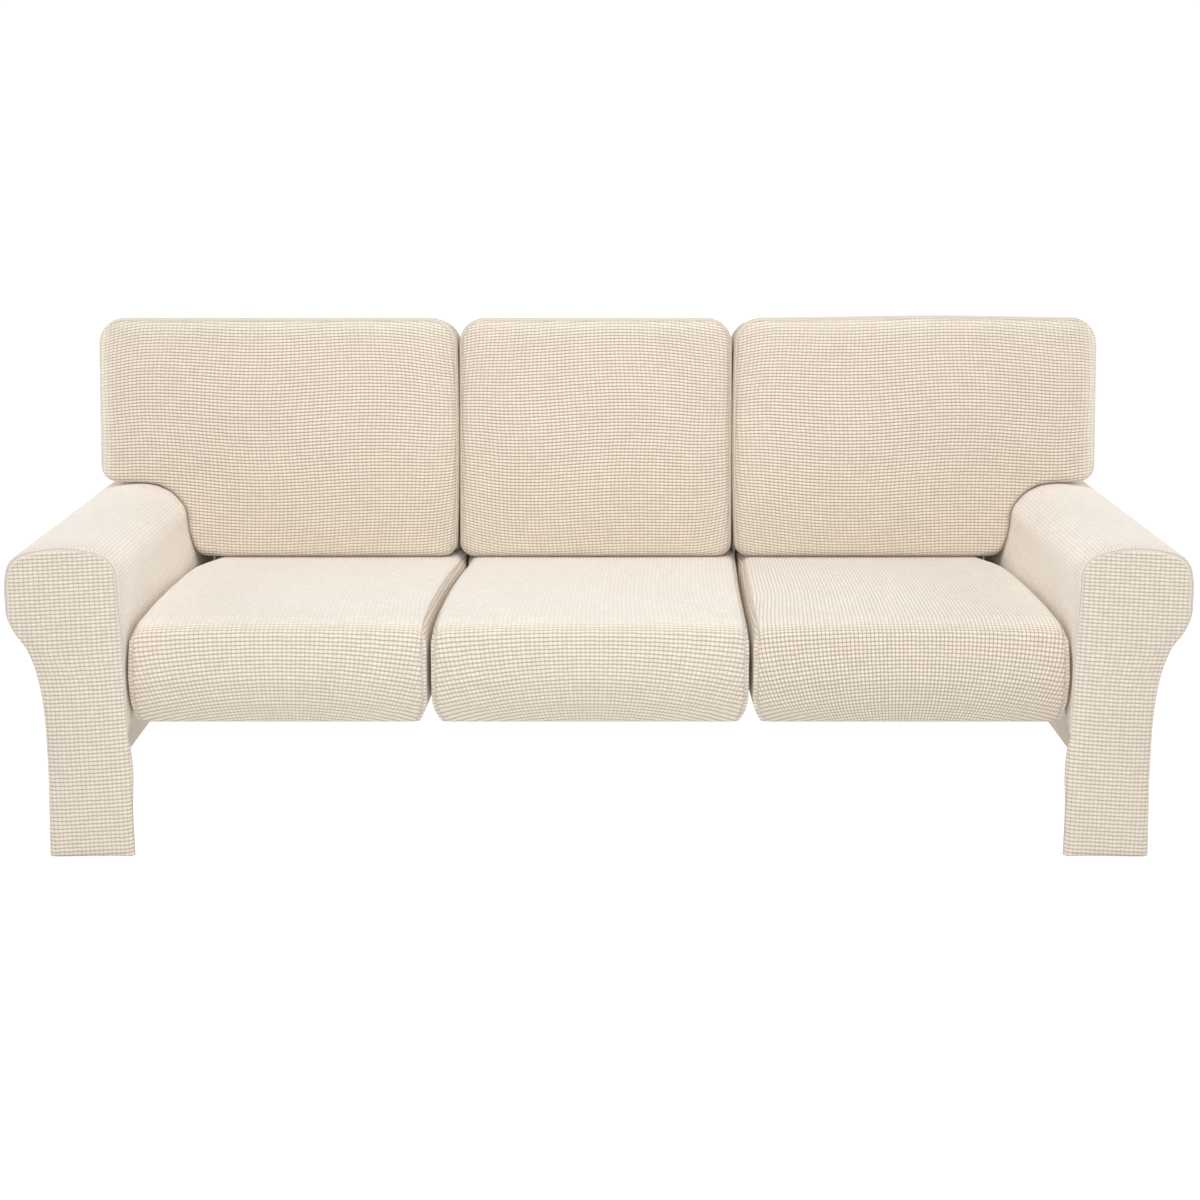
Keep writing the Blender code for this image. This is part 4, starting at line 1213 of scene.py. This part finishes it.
def arm_body(name, side):
    """From the seam over the rounded edge, then the section at each depth, closer together in front."""
    line = arm_section[: np.argmax((arm_section[:, 1] < ARM_HEM) & (arm_section[:, 0] < 0.9))]
    line = respaced(line, 0.0062)[0]
    normals = inward(line, closed=False)
    start = seam_turn(line) + ARM_HALF_SEAM
    turns = start + np.linspace(0, 1, 7)[:, None] * (math.pi / 2 - start)
    turned, turned_deep = arm_edge(turns, line, normals)
    turned = turned - normals * (SEAM_RIDGE * np.sin(np.linspace(0, math.pi, 7))[:, None, None])
    behind = np.concatenate([np.linspace(ARM_EDGE, 0.25, 40)[1:], np.linspace(0.25, ARM_LENGTH, 44)[1:]])
    flat = np.concatenate([turned, np.broadcast_to(line, (len(behind), *line.shape))])
    deep = np.concatenate([turned_deep, behind[:, None] + 0 * line[:, 0]])
    across, high = flat[..., 0], flat[..., 1]

    on_face = (np.arange(len(line)) > len(line) / 2) & (high < ARM_SHOULDER)
    hem = ARM_HEM + (ARM_HEM_REAR - ARM_HEM) * smooth_step(deep, *HEM_RISES)
    raised = hem + (high - ARM_HEM) * (ARM_SHOULDER - hem) / (ARM_SHOULDER - ARM_HEM)
    high = np.where(on_face, raised, high)
    from_gather = deep - GATHER_POINT[0], high - GATHER_POINT[1]
    far, angle = np.hypot(*from_gather), np.arctan2(from_gather[1], from_gather[0])
    fold = FOLD * (0.5 + 0.5 * np.sin(FOLDS * angle)) * np.exp(-far / FOLD_REACH)
    fold = fold * smooth_step(deep, *FOLD_FROM) * smooth_step(ARM_SHOULDER - high, 0, 0.1)
    past_crest = np.arange(len(line)) > np.argmax(line[:, 1])
    across = across + np.where(on_face, fold, 0) - np.where(past_crest, stands_in(deep, high), 0)
    grid = place_arm(side, np.stack([across, high], axis=-1), deep)
    run, wide = run_along(grid, 1), run_along(grid, 0)
    outside = smooth_step(ARM_SHOULDER - high, 0, 0.1) * (across > 1.0)
    by_gather = np.where(on_face, np.exp(-far / GATHER_SHOWS), 0)
    by_seam = np.exp(-deep / SEAM_SHOWS) * (1 - outside)
    parts = 1.0, outside, by_seam, by_gather
    sew_sheet(f"{name}_body", grid, np.stack([wide, run], axis=-1), np.stack([run, wide], axis=-1),
              place_arm(side, ARM_CENTRE, ARM_LENGTH / 2), (float(run.max()), float(wide.max())),
              check=smooth_step(wide, 0, BODY_PLAIN),
              levels=sum(strength * part for strength, part in zip(BODY_LEVELS, parts)),
              uprights=sum(strength * part for strength, part in zip(BODY_UPRIGHTS, parts)))


# %% Make the arms
for name, side in (("arm_left", -1), ("arm_right", 1)):
    arm_front(name, side)
    arm_body(name, side)

# %% [markdown]
# ## The size
#
# The box of the dressed model is printed, as the imported one's was at the start. The dressed model
# must stay inside the imported one's box, give or take what cloth may stand proud.

# %% Sizes
visual_box = [list(corner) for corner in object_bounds()]
print("dressed model:", [[round(value, 4) for value in corner] for corner in visual_box])
